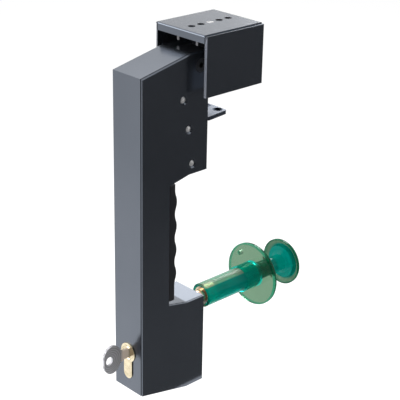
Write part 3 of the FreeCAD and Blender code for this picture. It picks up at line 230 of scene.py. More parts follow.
# %% Cloud
cloud, c_in, c_out = open_group("Cloud", {"Vector": 0, "Scale": 30}, ["Mask"])
drift = add_node(cloud, "ShaderNodeTexNoise", "slow drift", _Detail=5, _Roughness=0.5)
spread_out = add_range(cloud, "even spread", low=0.35, high=0.65)
join(cloud,
     (c_in.outputs["Vector"], drift.inputs["Vector"]),
     (c_in.outputs["Scale"], drift.inputs["Scale"]),
     (drift.outputs["Fac"], spread_out.inputs["Value"]),
     (spread_out.outputs["Result"], c_out.inputs["Mask"]))
print("groups:", [group.name for group in bpy.data.node_groups])

# %% [markdown]
# ## One recipe for metal, paint and plastic
# The finishes share a skeleton: object coordinates, a slow drift between two close tones, a bump
# and a roughness that the same skin drives a little. Amounts that are the same all over sit on the
# shader's own sockets. What makes each finish its own is set where it is used.

# %% Finish recipe
SKIN_DEPTH = 0.0002


def finish_of(name, tones, roughness, metallic, bump=0.02, grain_scale=2500.0, cloud_scale=30.0,
              brushed=None, swing=0.06, **sockets):
    """A surface that drifts between two tones, with grain or, with brushed=(along, across),
    scratches. Its roughness goes up and down by swing."""
    made = bpy.data.materials.new(name)
    made.use_nodes = True
    tree = made.node_tree
    shader = tree.nodes["Principled BSDF"]
    shader.inputs["Metallic"].default_value = metallic
    for title, value in sockets.items():
        shader.inputs[title.replace("_", " ")].default_value = value
    place = add_node(tree, "ShaderNodeTexCoord").outputs["Object"]
    tone = place_group(tree, cloud, place, Scale=cloud_scale)
    if brushed:
        skin = place_group(tree, brushing, place, Along=brushed[0], Across=brushed[1])
    else:
        skin = place_group(tree, grain, place, Scale=grain_scale)
    colour = add_mix(tree, "tone", A=tones[0], B=tones[1])
    rough = add_range(tree, "roughness", start=roughness - swing, end=roughness + swing)
    relief = add_node(tree, "ShaderNodeBump", "skin", _Strength=bump, _Distance=SKIN_DEPTH)
    join(tree,
         (tone.outputs["Mask"], colour.inputs["Factor"]),
         (colour.outputs["Result"], shader.inputs["Base Color"]),
         (skin.outputs["Mask"], rough.inputs["Value"]),
         (rough.outputs["Result"], shader.inputs["Roughness"]),
         (skin.outputs["Height"], relief.inputs["Height"]),
         (relief.outputs["Normal"], shader.inputs["Normal"]))
    return made


def coat(piece, material):
    """Gives a piece that one material."""
    piece.data.materials.clear()
    piece.data.materials.append(material)


def dress(material, *names):
    """Gives workshop pieces that material."""
    for name in names:
        coat(NODES[name], material)
    print(material.name, "on", ", ".join(names))


# %% [markdown]
# ## Blackened satin sheet
# The lever's folded channel, its side plate and the keeper hood are sheet with a dark satin coat
# that still mirrors the studio like metal: their tops are almost light grey, while the side that
# faces the dark half of the room is nearly black with a touch of blue. A fairly metallic shader
# with a dark base does both, where a plain black paint would stay black on top.

# %% Satin sheet
satin_sheet = finish_of("satin_sheet", tones=((0.138, 0.155, 0.185), (0.15, 0.167, 0.198)),
                        roughness=0.21, metallic=0.9, bump=0.004, grain_scale=3200,
                        cloud_scale=18, swing=0.02)
dress(satin_sheet, "lever_channel", "side_plate", "keeper_hood")

# %% [markdown]
# ## Moulded grip
# The grip is moulded black plastic with four finger grooves. It is duller than the sheet around
# it and has a fine leathery grain, so it gets no metal, a higher roughness and a deeper bump.

# %% Grip
grip_plastic = finish_of("grip_plastic", tones=((0.012, 0.013, 0.016), (0.02, 0.021, 0.025)),
                         roughness=0.42, metallic=0, bump=0.12, grain_scale=1800)
dress(grip_plastic, "grip_moulding")

# %% [markdown]
# ## Zinc-plated steel
# Bracket, hook and staple are pressed steel with a blue zinc plate. Zinc drifts between a cool and
# a slightly warmer grey and is never quite even, so its two tones lie further apart than the
# sheet's and change within a centimetre.

# %% Zinc plate
zinc = finish_of("zinc_plate", tones=((0.11, 0.14, 0.19), (0.18, 0.20, 0.25)),
                 roughness=0.3, metallic=1, bump=0.05, grain_scale=1500, cloud_scale=120)
dress(zinc, "base_bracket", "latch_hook", "lock_staple")

# %% [markdown]
# ## Bare, pale and darkened steels
# Screws, axle and roller are bright and brushed. The screws in the side plate show as small white
# discs, so their steel is painted paler and scatters more, a painted highlight that a dark room
# can't blacken. The pivot pin is blackened in a hot bath; the striker's carriage, deep in the hood,
# gets the same dark finish as painted shade. The pillars and the setting screw are plain turned
# steel, and the return springs are drawn wire, darker and smoother.

# %% Steels
bright_steel = finish_of("bright_steel", tones=((0.78, 0.78, 0.79), (0.86, 0.86, 0.86)),
                         roughness=0.32, metallic=1, bump=0.04, brushed=(3000, 9000))
dress(bright_steel, "side_plate_screws", "housing_screws", "roller_axle", "striker_roller",
      "cylinder_screw")
# The screws' paler, less metallic steel is a painted highlight.
steel_with_painted_highlight = finish_of("steel_with_painted_highlight", tones=((0.86, 0.86, 0.86), (0.98, 0.98, 0.98)),
                       roughness=0.4, metallic=0.35, bump=0.04, brushed=(3000, 9000))
# This dark finish is real blackening on the pivot pin and painted shade on the carriage in the
# hood.
black_oxide_and_shade = finish_of("black_oxide_and_shade", tones=((0.16, 0.16, 0.165), (0.2, 0.2, 0.205)),
                        roughness=0.4, metallic=0.9, bump=0.04)
dress(black_oxide_and_shade, "pivot_pin", "striker_carriage")
plain_steel = finish_of("plain_steel", tones=((0.42, 0.42, 0.43), (0.5, 0.5, 0.5)),
                        roughness=0.35, metallic=1, bump=0.06, brushed=(60, 5000))
dress(plain_steel, "spacer_pillars", "setting_screw")
spring_steel = finish_of("spring_steel", tones=((0.2, 0.2, 0.21), (0.3, 0.3, 0.31)),
                         roughness=0.28, metallic=1, bump=0.04)
dress(spring_steel, "return_springs")

# %% [markdown]
# ## Brass
# The lock cylinder, its plug and the guide of the push rod are pale machined brass. The rod itself
# is a redder brass, rubbed bright where it slides. Both are brushed, and their tones change every
# few millimetres, as on brass that is handled.

# %% Brass
brass = finish_of("brass", tones=((0.62, 0.53, 0.36), (0.82, 0.73, 0.53)), roughness=0.22,
                  metallic=1, bump=0.03, cloud_scale=170, brushed=(400, 8000))
dress(brass, "lock_cylinder", "cylinder_plug", "rod_guide")
coppery = finish_of("coppery_brass", tones=((0.62, 0.33, 0.20), (0.92, 0.76, 0.56)),
                    roughness=0.24, metallic=1, bump=0.04, cloud_scale=160, brushed=(400, 8000))
dress(coppery, "release_rod")

# %% [markdown]
# ## Nickel silver key
# The key's bow was ground flat on a turning wheel, which leaves rings about its hole, light and
# dark by turns. A ring wave centred on the hole takes the place of the slow drift. The short shank
# between the bow and the plug gets a painted reflection of the brass beside it: a mask by depth
# gives it a warm tone and takes its metal away.

# %% Nickel silver
TO_HOLE = (0, 0.0906, 0.192)     # brings the hole's middle to the origin
BOW_ENDS_AT, SHANK_BEGINS_AT = -0.0795, -0.0770
nickel = finish_of("nickel", tones=((0.58, 0.58, 0.60), (0.80, 0.80, 0.83)), roughness=0.72,
                   metallic=1, bump=0.1, brushed=(60, 6000))
tree = nickel.node_tree
shader = tree.nodes["Principled BSDF"]
rings = shader.inputs["Base Color"].links[0].from_node
place = add_node(tree, "ShaderNodeTexCoord").outputs["Object"]
centred = add_node(tree, "ShaderNodeVectorMath", "from the bow's hole", TO_HOLE, operation="ADD")
turning = add_node(tree, "ShaderNodeTexWave", "turned rings", wave_type="RINGS",
                   rings_direction="X", _Scale=168.0, _Distortion=0.6, _Detail=1.0)
parted = add_node(tree, "ShaderNodeSeparateXYZ")
shank = add_range(tree, "from the bow to the shank", low=BOW_ENDS_AT, high=SHANK_BEGINS_AT)
# The shank's warm tone is a painted reflection of the brass beside it.
painted_brass_reflection = add_mix(tree, "shank takes on the brass", B=(1.0, 0.86, 0.74))
less_metal = add_range(tree, "oily shank scatters more", start=1.0, end=0.0)
join(tree,
     (place, centred.inputs[0]),
     (centred.outputs[0], turning.inputs["Vector"]),
     (turning.outputs["Fac"], rings.inputs["Factor"]),
     (place, parted.inputs[0]),
     (parted.outputs["Y"], shank.inputs["Value"]),
     (shank.outputs["Result"], painted_brass_reflection.inputs["Factor"]),
     (rings.outputs["Result"], painted_brass_reflection.inputs["A"]),
     (painted_brass_reflection.outputs["Result"], shader.inputs["Base Color"]),
     (shank.outputs["Result"], less_metal.inputs["Value"]),
     (less_metal.outputs["Result"], shader.inputs["Metallic"]))
dress(nickel, "key")

# %% [markdown]
# ## Casting, sintered cam and bushes
# These sit inside the lever and hardly show, but a lever that swings out lets them be seen from
# behind. The housing behind the cylinder is a grey zinc casting with a coarse skin, the cam is
# pressed from metal powder and dark, and the bushes in the bracket's ears are pale bearing plastic.

# %% Casting, cam and bushes
cast_zinc = finish_of("cast_zinc", tones=((0.33, 0.34, 0.35), (0.42, 0.42, 0.43)),
                      roughness=0.5, metallic=0.8, bump=0.2, grain_scale=900)
dress(cast_zinc, "lock_housing")
sintered = finish_of("sintered_steel", tones=((0.16, 0.16, 0.16), (0.24, 0.23, 0.22)),
                     roughness=0.5, metallic=0.9, bump=0.2, grain_scale=2200)
dress(sintered, "lock_cam")
bearing_plastic = finish_of("bearing_plastic", tones=((0.7, 0.68, 0.6), (0.76, 0.74, 0.66)),
                            roughness=0.4, metallic=0, bump=0.03)
dress(bearing_plastic, "pivot_bushes")

# %% [markdown]
# ## Green see-through plastic
# The inside release is injection-moulded in a clear green plastic. Light goes far into it: the
# thin flange looks pale sage, and the thick tube and stem look deep teal. That comes from the
# depth of the plastic and not from paint, so the material lets light through and soaks up red on
# the way, with a volume that absorbs. Exact depths would need hours of light paths, so the tint
# is helped along: it goes from thick to thin with the distance from the release's axis, and the
# rims, which look into the whole width of a disc, get a darker green. On the tube the same mask
# is laid by height, because its wall is seen edge-on at the top and at the bottom; the pale strip
# along the top is also a painted highlight.

# %% Green recipe
RELEASE_AXIS = -0.1675
RIM_BLEND = 0.0003


def green_of(name, thin, thick, edge_at, spread, soaking, clear, rim=None, rim_at=1.0,
             across=(1, 0, 1), shift=0.0):
    """Green plastic: the thick colour near the release's axis, the thin one beyond edge_at and
    the rim's beyond rim_at. The distance is measured across those axes, with its middle moved up
    or down by shift; soaking is how dense the plastic is, and clear is its share of clear light."""
    made = finish_of(name, (thick, thick), roughness=0.1, metallic=0, bump=0.01, grain_scale=700,
                     swing=0.02, Transmission_Weight=clear, IOR=1.2, Specular_IOR_Level=0.08)
    tree = made.node_tree
    shader = tree.nodes["Principled BSDF"]
    drifting = shader.inputs["Base Color"].links[0].from_socket
    place = add_node(tree, "ShaderNodeTexCoord").outputs["Object"]
    centred = add_node(tree, "ShaderNodeVectorMath", "from the axis", across,
                       operation="MULTIPLY_ADD")
    centred.inputs[2].default_value = (0, 0, shift - RELEASE_AXIS)
    away = add_node(tree, "ShaderNodeVectorMath", "distance", operation="LENGTH")
    far = add_range(tree, "thin part", low=edge_at - spread, high=edge_at + spread)
    pale = add_mix(tree, "thick to thin", B=thin)
    ring = add_range(tree, "rim", low=rim_at - RIM_BLEND, high=rim_at + RIM_BLEND)
    outer = add_mix(tree, "rim colour", B=rim or thin)
    soak = add_node(tree, "ShaderNodeVolumeAbsorption", "soaks up red", _Density=soaking,
                    _Color=(0.02, 0.78, 0.62, 1))
    join(tree,
         (place, centred.inputs[0]),
         (centred.outputs[0], away.inputs[0]),
         (away.outputs["Value"], far.inputs["Value"]),
         (far.outputs["Result"], pale.inputs["Factor"]),
         (drifting, pale.inputs["A"]),
         (away.outputs["Value"], ring.inputs["Value"]),
         (ring.outputs["Result"], outer.inputs["Factor"]),
         (pale.outputs["Result"], outer.inputs["A"]),
         (outer.outputs["Result"], shader.inputs["Base Color"]),
         (soak.outputs["Volume"], tree.nodes["Material Output"].inputs["Volume"]))
    return made


# %% [markdown]
# ## Tube, flange and knob
# Each of the three gets its own two tones and its own clearness: the flange is thin and the
# clearest, the knob is a solid disc and soaks up the most. Only the flange and the knob have a
# rim that is seen edge-on.

# %% Tube, flange and knob
RIM_GREEN = (0.01, 0.24, 0.12)
# On the tube the thin colour in the top and bottom strips is partly a painted highlight.
green_tube = green_of("green_tube", thin=(0.52, 0.66, 0.48), thick=(0, 0.50, 0.43),
                      edge_at=0.0081, spread=0.0004, soaking=15, clear=0.6,
                      across=(0, 0, 1), shift=-0.00065)
dress(green_tube, "release_tube")
green_flange = green_of("green_flange", thin=(0.19, 0.32, 0.21), thick=(0, 0.70, 0.60),
                        edge_at=0.01215, spread=0.0001, soaking=8, clear=0.9,
                        rim=RIM_GREEN, rim_at=0.0278)
dress(green_flange, "inside_flange")
green_knob = green_of("green_knob", thin=(0.26, 0.42, 0.28), thick=(0.0, 0.40, 0.34),
                      edge_at=0.0170, spread=0.0010, soaking=30, clear=0.5,
                      rim=RIM_GREEN, rim_at=0.0204)
dress(green_knob, "release_knob")

# %% [markdown]
# ## Finer copies of workshop pieces
# Some workshop pieces get small trim that their solids leave out. A workshop mesh is loose
# triangles, so a copy of it first has its doubled corners merged, and only then can an edge be
# bevelled or a face pushed in. The copy rides on the same body and takes the piece's place.

# %% Copy helpers
def copy_of(node, name):
    """A copy of a workshop piece with its doubled corners merged, for finer work."""
    piece = add_to_scene(name, NODES[node].data.copy())
    shape = bmesh.new()
    shape.from_mesh(piece.data)
    bmesh.ops.remove_doubles(shape, verts=shape.verts, dist=1e-6)
    return piece, shape


def write_back(piece, shape):
    shape.to_mesh(piece.data)
    shape.free()


def settle(piece, shape, body, *replaced, material):
    """Writes the shape back, gives it its material and puts it in the place of those nodes."""
    bmesh.ops.recalc_face_normals(shape, faces=shape.faces)
    write_back(piece, shape)
    coat(piece, material)
    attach(piece, body)
    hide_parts(*replaced)
    print(piece.name, "faces:", len(piece.data.polygons))


def near(one, other, within=1e-5):
    return abs(one - other) < within


def crisp_edges_at(shape, axis, value, least=math.radians(60)):
    """The edges, bent by more than least, that lie whole where that axis has that value."""
    return [edge for edge in shape.edges
            if len(edge.link_faces) == 2 and edge.calc_face_angle(0) > least
            and all(near(getattr(vert.co, axis), value) for vert in edge.verts)]


def break_edges(shape, edges, offset, profile):
    bmesh.ops.bevel(shape, geom=edges, offset=offset, offset_type="OFFSET", segments=2,
                    profile=profile, affect="EDGES", material=-1, clamp_overlap=True)


# %% [markdown]
# ## Joint lines round the side plate
# The side plate is welded onto the channel, and its edges are broken before the coat goes on. A
# fine groove stays along the joint: it shows as a dark line with the plate's own light edge beside
# it. A bevel with its middle pushed in (a profile of 0) cuts the groove into the edge that lies
# against the channel.

# %% Groove of the side plate
GROOVE, SHORT_EDGE = 0.0010, 0.003
plate, shape = copy_of("side_plate", "side_plate_broken_edge")
inner = min(vert.co.x for vert in shape.verts)
rim = [edge for edge in crisp_edges_at(shape, "x", inner) if edge.calc_length() > SHORT_EDGE]
break_edges(shape, rim, GROOVE, profile=0.0)
print("grooved edges:", len(rim))

# %% [markdown]
# ## A wider broken edge on the plate
# The light edge beside the groove is wider in the photograph than in the solid, along the front
# and up the slant, so the line where the broken edge starts moves towards the channel. On the
# slant, the groove's floor and the plate's outer line also sink a little below the slope, so that
# the joint stays a dark line when it is seen from above. Outward is how far a corner lies from the
# channel, and beneath is how far it lies below the slope.

# %% Broken edge of the side plate
FRONT = -0.07
ON_FRONT, OFF_FRONT = FRONT + 0.0001, FRONT + 0.0002
FACE, BREAK_FROM, BREAK_TO = 0.002, 0.0016, 0.00105         # outward from the channel
ON_SLOPE, FLOOR_DEEP, SLANT_BAND = 0.0001, 0.0008, 0.0013   # beneath the slope
FLOOR_SINKS, LINE_SINKS = 0.0010, 0.0005
LOOSE = 5e-5
corner = max((vert.co for vert in shape.verts if vert.co.y < ON_FRONT),
             key=lambda co: co.z).copy()
crest = max((vert.co for vert in shape.verts), key=lambda co: (round(co.z, 5), -co.y)).copy()
slope = Vector((crest.y - corner.y, crest.z - corner.z)).normalized()
print("slant from", [round(v, 4) for v in corner], "to", [round(v, 4) for v in crest])
for vert in shape.verts:
    outward = vert.co.x - inner
    beneath = slope.y * (vert.co.y - corner.y) - slope.x * (vert.co.z - corner.z)
    on_slant = vert.co.y > OFF_FRONT and beneath < SLANT_BAND
    on_floor = outward < BREAK_TO and beneath > FLOOR_DEEP
    if near(outward, BREAK_FROM, LOOSE) and (vert.co.y < ON_FRONT or beneath < ON_SLOPE):
        vert.co.x = inner + BREAK_TO
    elif on_slant and (on_floor or near(outward, FACE, LOOSE)):
        sink = FLOOR_SINKS if on_floor else LINE_SINKS
        vert.co.z -= slope.x * sink
        if vert.co.y > FRONT + GROOVE:
            vert.co.y += slope.y * sink
settle(plate, shape, "lever", "side_plate", material=satin_sheet)

# %% [markdown]
# ## Grooves and edges of the hood
# The hood's top with its front lip is one folded strip, and the side walls are set into it. On the
# right the wall stops short of the top, which leaves a groove along that edge, and the ends of the
# lip have a slit each. They are cut with thin bars, as a saw would do it: a boolean takes a bar
# out of the closed sheet.

# %% Hood with grooved joints
def cut_away(piece, bars):
    """Takes boxes, each given by two corners, out of a closed piece."""
    cutter_mesh = bpy.data.meshes.new("bar")
    for low, high in bars:
        shape = bmesh.new()
        bmesh.ops.create_cube(shape, size=1)
        bmesh.ops.scale(shape, vec=[b - a for a, b in zip(low, high)], verts=shape.verts)
        bmesh.ops.translate(shape, vec=[(a + b) / 2 for a, b in zip(low, high)],
                            verts=shape.verts)
        shape.to_mesh(cutter_mesh)
        shape.free()
        bar = add_to_scene("bar", cutter_mesh)
        cut = piece.modifiers.new("cut", "BOOLEAN")
        cut.operation, cut.solver, cut.object = "DIFFERENCE", "EXACT", bar
        bpy.context.view_layer.update()
        cut_piece = piece.evaluated_get(bpy.context.evaluated_depsgraph_get())
        piece.data = bpy.data.meshes.new_from_object(cut_piece)
        piece.modifiers.clear()
        bpy.data.objects.remove(bar)


WALL, PAST = 0.002, 0.001      # the sheet's thickness, and how far a bar reaches past it
STEP = 0.0009                  # how far the right wall ends below the top
SLIT, LIP = 0.0004, 0.0064     # half a slit's width, and its depth down the lip
MOUTH_BACK = 0.0007            # how far the side walls end behind the lip
hood, shape = copy_of("keeper_hood", "keeper_hood_grooved")
wall = max(vert.co.x for vert in shape.verts) - WALL
front, back = (pick(vert.co.y for vert in shape.verts) for pick in (min, max))
top = max(vert.co.z for vert in shape.verts)
write_back(hood, shape)
before, behind, over = front - PAST, back + PAST, top + PAST
groove_bar = ((wall - GROOVE, before, top - GROOVE), (wall + GROOVE, behind, over))
wall_bar = ((wall - GROOVE, before, top - STEP), (wall + WALL + PAST, behind, over))
lip_bars = [((side - SLIT, before, top - LIP), (side + SLIT, front + MOUTH_BACK, over))
            for side in (wall, -wall)]
cut_away(hood, [groove_bar, wall_bar] + lip_bars)
print("hood wall at", round(wall, 4), "front at", round(front, 4), "top at", round(top, 4))

# %% [markdown]
# ## Mouth and setting holes of the hood
# The side walls end a little behind the lip, and the facets at their ends get a paler coat, a
# painted highlight along the sheet's edge. The four open setting holes are wider in the photograph
# than
# the thread beneath, so the rings of corners round them are pushed out to one radius. The fifth
# hole holds the setting screw and stays.

# %% Mouth edges and holes
OPEN_HOLES, HOLE_RADIUS = (-0.0038, 0.0062, 0.0262, 0.0362), 0.0030
RING_FROM, RING_TO = 0.0015, 0.0031
shape = bmesh.new()
shape.from_mesh(hood.data)
for vert in shape.verts:
    if near(vert.co.y, front) and near(abs(vert.co.x) - wall, WALL):
        vert.co.y += MOUTH_BACK
    for hole in OPEN_HOLES:
        from_hole = Vector((vert.co.x, vert.co.y - hole))
        if RING_FROM < from_hole.length < RING_TO:
            wider = from_hole.normalized() * HOLE_RADIUS
            vert.co.x, vert.co.y = wider.x, hole + wider.y
settle(hood, shape, "door_side", "keeper_hood", material=satin_sheet)
# The paler finish on the mouth facets is a painted highlight along the sheet's edge.
painted_edge_highlight = finish_of("painted_edge_highlight", tones=((0.24, 0.26, 0.31), (0.29, 0.31, 0.36)),
                        roughness=0.25, metallic=0.9, bump=0.02)
hood.data.materials.append(painted_edge_highlight)
FORWARD, ASIDE_FROM, ASIDE_TO = -0.85, 0.2, 0.5
mouth = [part for part in hood.data.polygons
         if part.normal.y < FORWARD and ASIDE_FROM < abs(part.normal.x) < ASIDE_TO]
for part in mouth:
    part.material_index = 1
print("rubbed facets:", len(mouth))

# %% [markdown]
# ## Small screws in the side plate
# The three screws sit a little below the plate in blackened countersinks, so only a bright disc
# with a crossed recess shows, smaller than the countersink itself. One screw is turned as a
# profile, its recess is cut with two thin bars, and it is set in place three times.

# %% Side plate screws
def turned(profile, steps=40):
    """A closed round piece about X from (x, radius) points."""
    shape = bmesh.new()
    points = [shape.verts.new((x, radius, 0)) for x, radius in profile]
    edges = [shape.edges.new(pair) for pair in zip(points, points[1:])]
    bmesh.ops.spin(shape, geom=points + edges, cent=(0, 0, 0), axis=(1, 0, 0), dvec=(0, 0, 0),
                   angle=math.tau, steps=steps, use_merge=True)
    bmesh.ops.remove_doubles(shape, verts=shape.verts, dist=1e-7)
    return shape


SCREWS_AT = ((-0.0269, 0.0234), (-0.0209, -0.0019), (-0.0166, -0.0318))
DEPTHS_AND_RADII = ((0.0002, 0), (0.00027, 0.0007), (0.0005, 0.0013), (0.0009, 0.0019),
                    (0.0014, 0.0025), (0.0017, 0.0026), (0.0028, 0.0014), (0.0102, 0.0014),
                    (0.0104, 0))
ARM, BLADE, RECESS = 0.0012, 0.00028, 0.0014
CROSS_TURN = math.radians(30)
face = max(vert.co.x for vert in NODES["side_plate"].data.vertices)
whole = bmesh.new()
for y, z in SCREWS_AT:
    head = add_to_scene("head", bpy.data.meshes.new("head"))
    shape = turned([(face - depth, radius) for depth, radius in DEPTHS_AND_RADII])
    bmesh.ops.recalc_face_normals(shape, faces=shape.faces)
    write_back(head, shape)
    cut_away(head, [((face - RECESS, -wide, -high), (face + PAST, wide, high))
                    for wide, high in ((ARM, BLADE), (BLADE, ARM))])
    head.data.transform(Matrix.Translation((0, y, z)) @ Matrix.Rotation(CROSS_TURN, 4, "X"))
    whole.from_mesh(head.data)
    bpy.data.objects.remove(head)
screws = add_to_scene("side_plate_screw_heads", bpy.data.meshes.new("side_plate_screw_heads"))
settle(screws, whole, "lever", "side_plate_screws", material=steel_with_painted_highlight)

# %% [markdown]
# ## Lock cylinder and plug
# The cylinder's face is machined flat with a broken edge all round, and the plug has a shallow
# dish round the keyway that guides the key. Those small slopes carry the bright and dark crescents
# that make a lock look machined. The photograph shows the cylinder about 1 mm proud of the lever,
# less than the solid, so everything beyond the nose is pressed back to its plane.

# %% Cylinder and plug
NOSE, PLUG_BACK = -0.0709, 0.0002
EDGE_BREAK, DISH_RIM, DISH_DEPTH = 0.0005, 0.0008, 0.0006
STRAIGHT_FORWARD = -0.99
lock, shape = copy_of("lock_cylinder", "lock_cylinder_broken_edge")
for vert in shape.verts:
    vert.co.y = max(vert.co.y, NOSE)
break_edges(shape, crisp_edges_at(shape, "y", NOSE), EDGE_BREAK, profile=0.5)
settle(lock, shape, "lever", "lock_cylinder", material=brass)
plug, shape = copy_of("cylinder_plug", "cylinder_plug_dished")
for vert in shape.verts:
    vert.co.y = max(vert.co.y, NOSE + PLUG_BACK)
disc = [part for part in shape.faces if part.normal.y < STRAIGHT_FORWARD
        and near(part.calc_center_median().y - NOSE, PLUG_BACK)]
bmesh.ops.inset_region(shape, faces=disc, thickness=DISH_RIM, depth=-DISH_DEPTH,
                       use_even_offset=True)
settle(plug, shape, "lock_plug", "cylinder_plug", material=brass)

# %% [markdown]
# ## A narrower bow on the key
# The bow is narrower in the photograph than in the solid, and its outer end is where the solid has
# it. So the copy is squeezed towards that end, and the shank in the plug keeps its place.

# %% Key
BOW_STARTS, BOW_END, BOW_SHARE = -0.0775, -0.097, 0.88
narrow_key, shape = copy_of("key", "key_narrow_bow")
for vert in shape.verts:
    if vert.co.y < BOW_STARTS:
        vert.co.y = BOW_END + (vert.co.y - BOW_END) * BOW_SHARE
settle(narrow_key, shape, "lock_plug", "key", material=nickel)

# %% [markdown]
# ## Return springs
# Each spring has one leg in the fixed bracket and the other in the hook, so it winds up when the
# lever swings. The copy has its doubled corners merged and its place baked into its mesh, and it
# takes the place of the workshop springs.

# %% Return springs
springs, shape = copy_of("return_springs", "return_springs_winding")
write_back(springs, shape)
coat(springs, spring_steel)
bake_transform(springs)
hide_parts("return_springs")
print("springs:", len(springs.data.polygons), "faces")

# %% [markdown]
# ## Studio floor
# A plain pale floor lies under the latch. To the camera, and in reflections, it is the white of
# the paper that the photograph shows, and it still takes a soft shadow: its material mixes a
# white glow with a plain matt white. The glow is a little stronger near the latch, because the
# lever's front mirrors that part of the floor. The light path tells the two apart: rays that are
# seen get the glow, and rays that carry light to the latch get the matt white.

# %% Studio floor
def only_seen(tree):
    """1 for camera, glossy and transmission rays, and 0 for the light that falls on the latch."""
    path = add_node(tree, "ShaderNodeLightPath")
    first = add_node(tree, "ShaderNodeMath", operation="MAXIMUM")
    seen = add_node(tree, "ShaderNodeMath", operation="MAXIMUM")
    join(tree,
         (path.outputs["Is Camera Ray"], first.inputs[0]),
         (path.outputs["Is Glossy Ray"], first.inputs[1]),
         (first.outputs[0], seen.inputs[0]),
         (path.outputs["Is Transmission Ray"], seen.inputs[1]))
    return seen.outputs[0]


def studio_sheet(name, half, middle, turns=()):
    """A flat square, given by half its side and by its middle, turned about the axes in turns."""
    shape = bmesh.new()
    bmesh.ops.create_grid(shape, x_segments=1, y_segments=1, size=half)
    for angle, axis in turns:
        bmesh.ops.rotate(shape, cent=(0, 0, 0), verts=shape.verts,
                         matrix=Matrix.Rotation(math.radians(angle), 3, axis))
    bmesh.ops.translate(shape, vec=middle, verts=shape.verts)
    sheet = add_to_scene(name, bpy.data.meshes.new(name))
    write_back(sheet, shape)
    return sheet


def matt_material(name, colour, roughness):
    """A material with that matt colour; returns it with its tree and its shader."""
    made = bpy.data.materials.new(name)
    made.use_nodes = True
    matt = made.node_tree.nodes["Principled BSDF"]
    matt.inputs["Base Color"].default_value = (*colour, 1)
    matt.inputs["Roughness"].default_value = roughness
    return made, made.node_tree, matt


def glow_by_distance(tree, middle, low, high, start, end):
    """A strength that goes from start to end between two distances from that middle."""
    place = add_node(tree, "ShaderNodeTexCoord").outputs["Object"]
    reach = add_node(tree, "ShaderNodeVectorMath", "distance from the latch", middle,
                     operation="DISTANCE")
    fade = add_range(tree, "near to far", low=low, high=high, start=start, end=end)
    join(tree, (place, reach.inputs[0]), (reach.outputs["Value"], fade.inputs["Value"]))
    return fade.outputs["Result"]


GROUND = model_box[0][2]
FLOOR_GAP, GLOW_SHARE = 0.0005, 0.9
floor = studio_sheet("studio_floor", half=8, middle=(0, 0, GROUND - FLOOR_GAP))
paper, tree, matt = matt_material("white_paper", colour=(0.8, 0.8, 0.8), roughness=0.9)
matt.inputs["Specular IOR Level"].default_value = 0.0
glow = add_node(tree, "ShaderNodeEmission", "paper white")
share = add_node(tree, "ShaderNodeMath", "share of glow", GLOW_SHARE, operation="MULTIPLY")
mixed = add_node(tree, "ShaderNodeMixShader")
pool = glow_by_distance(tree, (-0.05, -0.1, GROUND), low=0.05, high=0.7, start=1.38, end=1.06)
join(tree,
     (pool, glow.inputs["Strength"]),
     (only_seen(tree), share.inputs[0]),
     (share.outputs[0], mixed.inputs["Fac"]),
     (matt.outputs[0], mixed.inputs[1]),
     (glow.outputs[0], mixed.inputs[2]),
     (mixed.outputs[0], tree.nodes["Material Output"].inputs["Surface"]))
floor.data.materials.append(paper)
print("floor lies at", round(GROUND - FLOOR_GAP, 4))

# %% [markdown]
# ## The room beyond the floor
# The world is white where it is seen or mirrored, as the paper is, and gives only a weak even
# light, so that the lamps shape the latch.

# %% World
EVEN_LIGHT = 0.35
world = bpy.data.worlds.new("studio_room")
world.use_nodes = True
bpy.context.scene.world = world
tree = world.node_tree
backdrop = tree.nodes["Background"]
backdrop.inputs["Color"].default_value = (1, 1, 1, 1)
brightness = add_range(tree, "white when seen", start=EVEN_LIGHT, end=1.0)
join(tree,
     (only_seen(tree), brightness.inputs["Value"]),
     (brightness.outputs["Result"], backdrop.inputs["Strength"]))
print("world:", world.name, "even light", EVEN_LIGHT)

# %% [markdown]
# ## Lamps
# A satin coat shows what it mirrors, so each lamp is placed where one face looks: a wide soft lamp
# above for the slanted head, a smaller one low behind the latch for the hood's top, a card close by
# for the ledge under the grip, and a fill from the left for the brass.

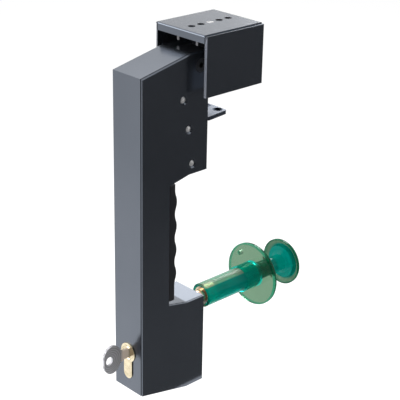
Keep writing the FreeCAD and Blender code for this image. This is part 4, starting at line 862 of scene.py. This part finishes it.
# %% Lamps
def soft_lamp(name, place, towards, width, height, power):
    light = bpy.data.lights.new(name, "AREA")
    light.shape, light.size, light.size_y = "RECTANGLE", width, height
    light.energy = power
    holder = add_to_scene(name, light)
    aim = Vector(towards) - Vector(place)
    holder.matrix_world = Matrix.Translation(place) @ (
        aim.to_track_quat("-Z", "Y").to_matrix().to_4x4())
    holder.visible_camera = False
    print(name, "stands", round(aim.length, 2), "m away with", power, "W")


MIDDLE, LOW, LEDGE = (0, 0, -0.08), (0, 0.04, -0.16), (0, -0.022, -0.155)
soft_lamp("top_softbox", (-0.5, 0.5, 1.1), MIDDLE, width=1.2, height=1.2, power=2.8)
soft_lamp("left_fill", (-1.0, -0.9, 0.5), MIDDLE, width=0.9, height=0.9, power=8)
soft_lamp("rear_softbox", (-0.44, 0.88, 0.55), LOW, width=0.46, height=0.34, power=5.6)
soft_lamp("ledge_card", (-0.274, 0.228, 0.041), LEDGE, width=0.12, height=0.12, power=0.12)

# %% [markdown]
# ## Dark cloth
# The lever's right side mirrors the right-hand half of the room, and it is dark there. A dark
# cloth on the floor, which photographers call a flag, and a dark wall behind the camera do that.
# The cloth glows a little, more near the latch: a painted reflection, paler towards the side's
# foot.
# Only mirror rays see the two, so they take no light from the latch and cast no shadow.

# %% Dark cloth and wall
CLOTH_GAP = 0.0003
flag = studio_sheet("dark_cloth", half=1.8, middle=(1.822, 0.3, GROUND - CLOTH_GAP))
cloth, tree, matt = matt_material("cloth", colour=(0.02, 0.02, 0.022), roughness=1)
# The cloth's glow is a painted reflection that lightens the lever's side towards its foot.
matt.inputs["Emission Color"].default_value = (1, 1, 1, 1)
fade = glow_by_distance(tree, (0, 0, GROUND), low=0.03, high=0.45, start=0.16, end=0.055)
join(tree, (fade, matt.inputs["Emission Strength"]))
room_wall = studio_sheet("dark_wall", half=1.8, middle=(1.2, -1.15, 1.2),
                         turns=((90, "X"), (46, "Z")))
for sheet in (flag, room_wall):
    sheet.data.materials.append(cloth)
    for ray in ("camera", "diffuse", "transmission", "shadow"):
        setattr(sheet, "visible_" + ray, False)
print("studio sheets:", floor.name, flag.name, room_wall.name)

# %% [markdown]
# ## Colour and the last step
# The Standard view shows colours about as they are written. The workshop model's size, read at the
# start, is kept.

# %% Finish
bpy.context.scene.view_settings.view_transform = "Standard"
bpy.context.view_layer.update()
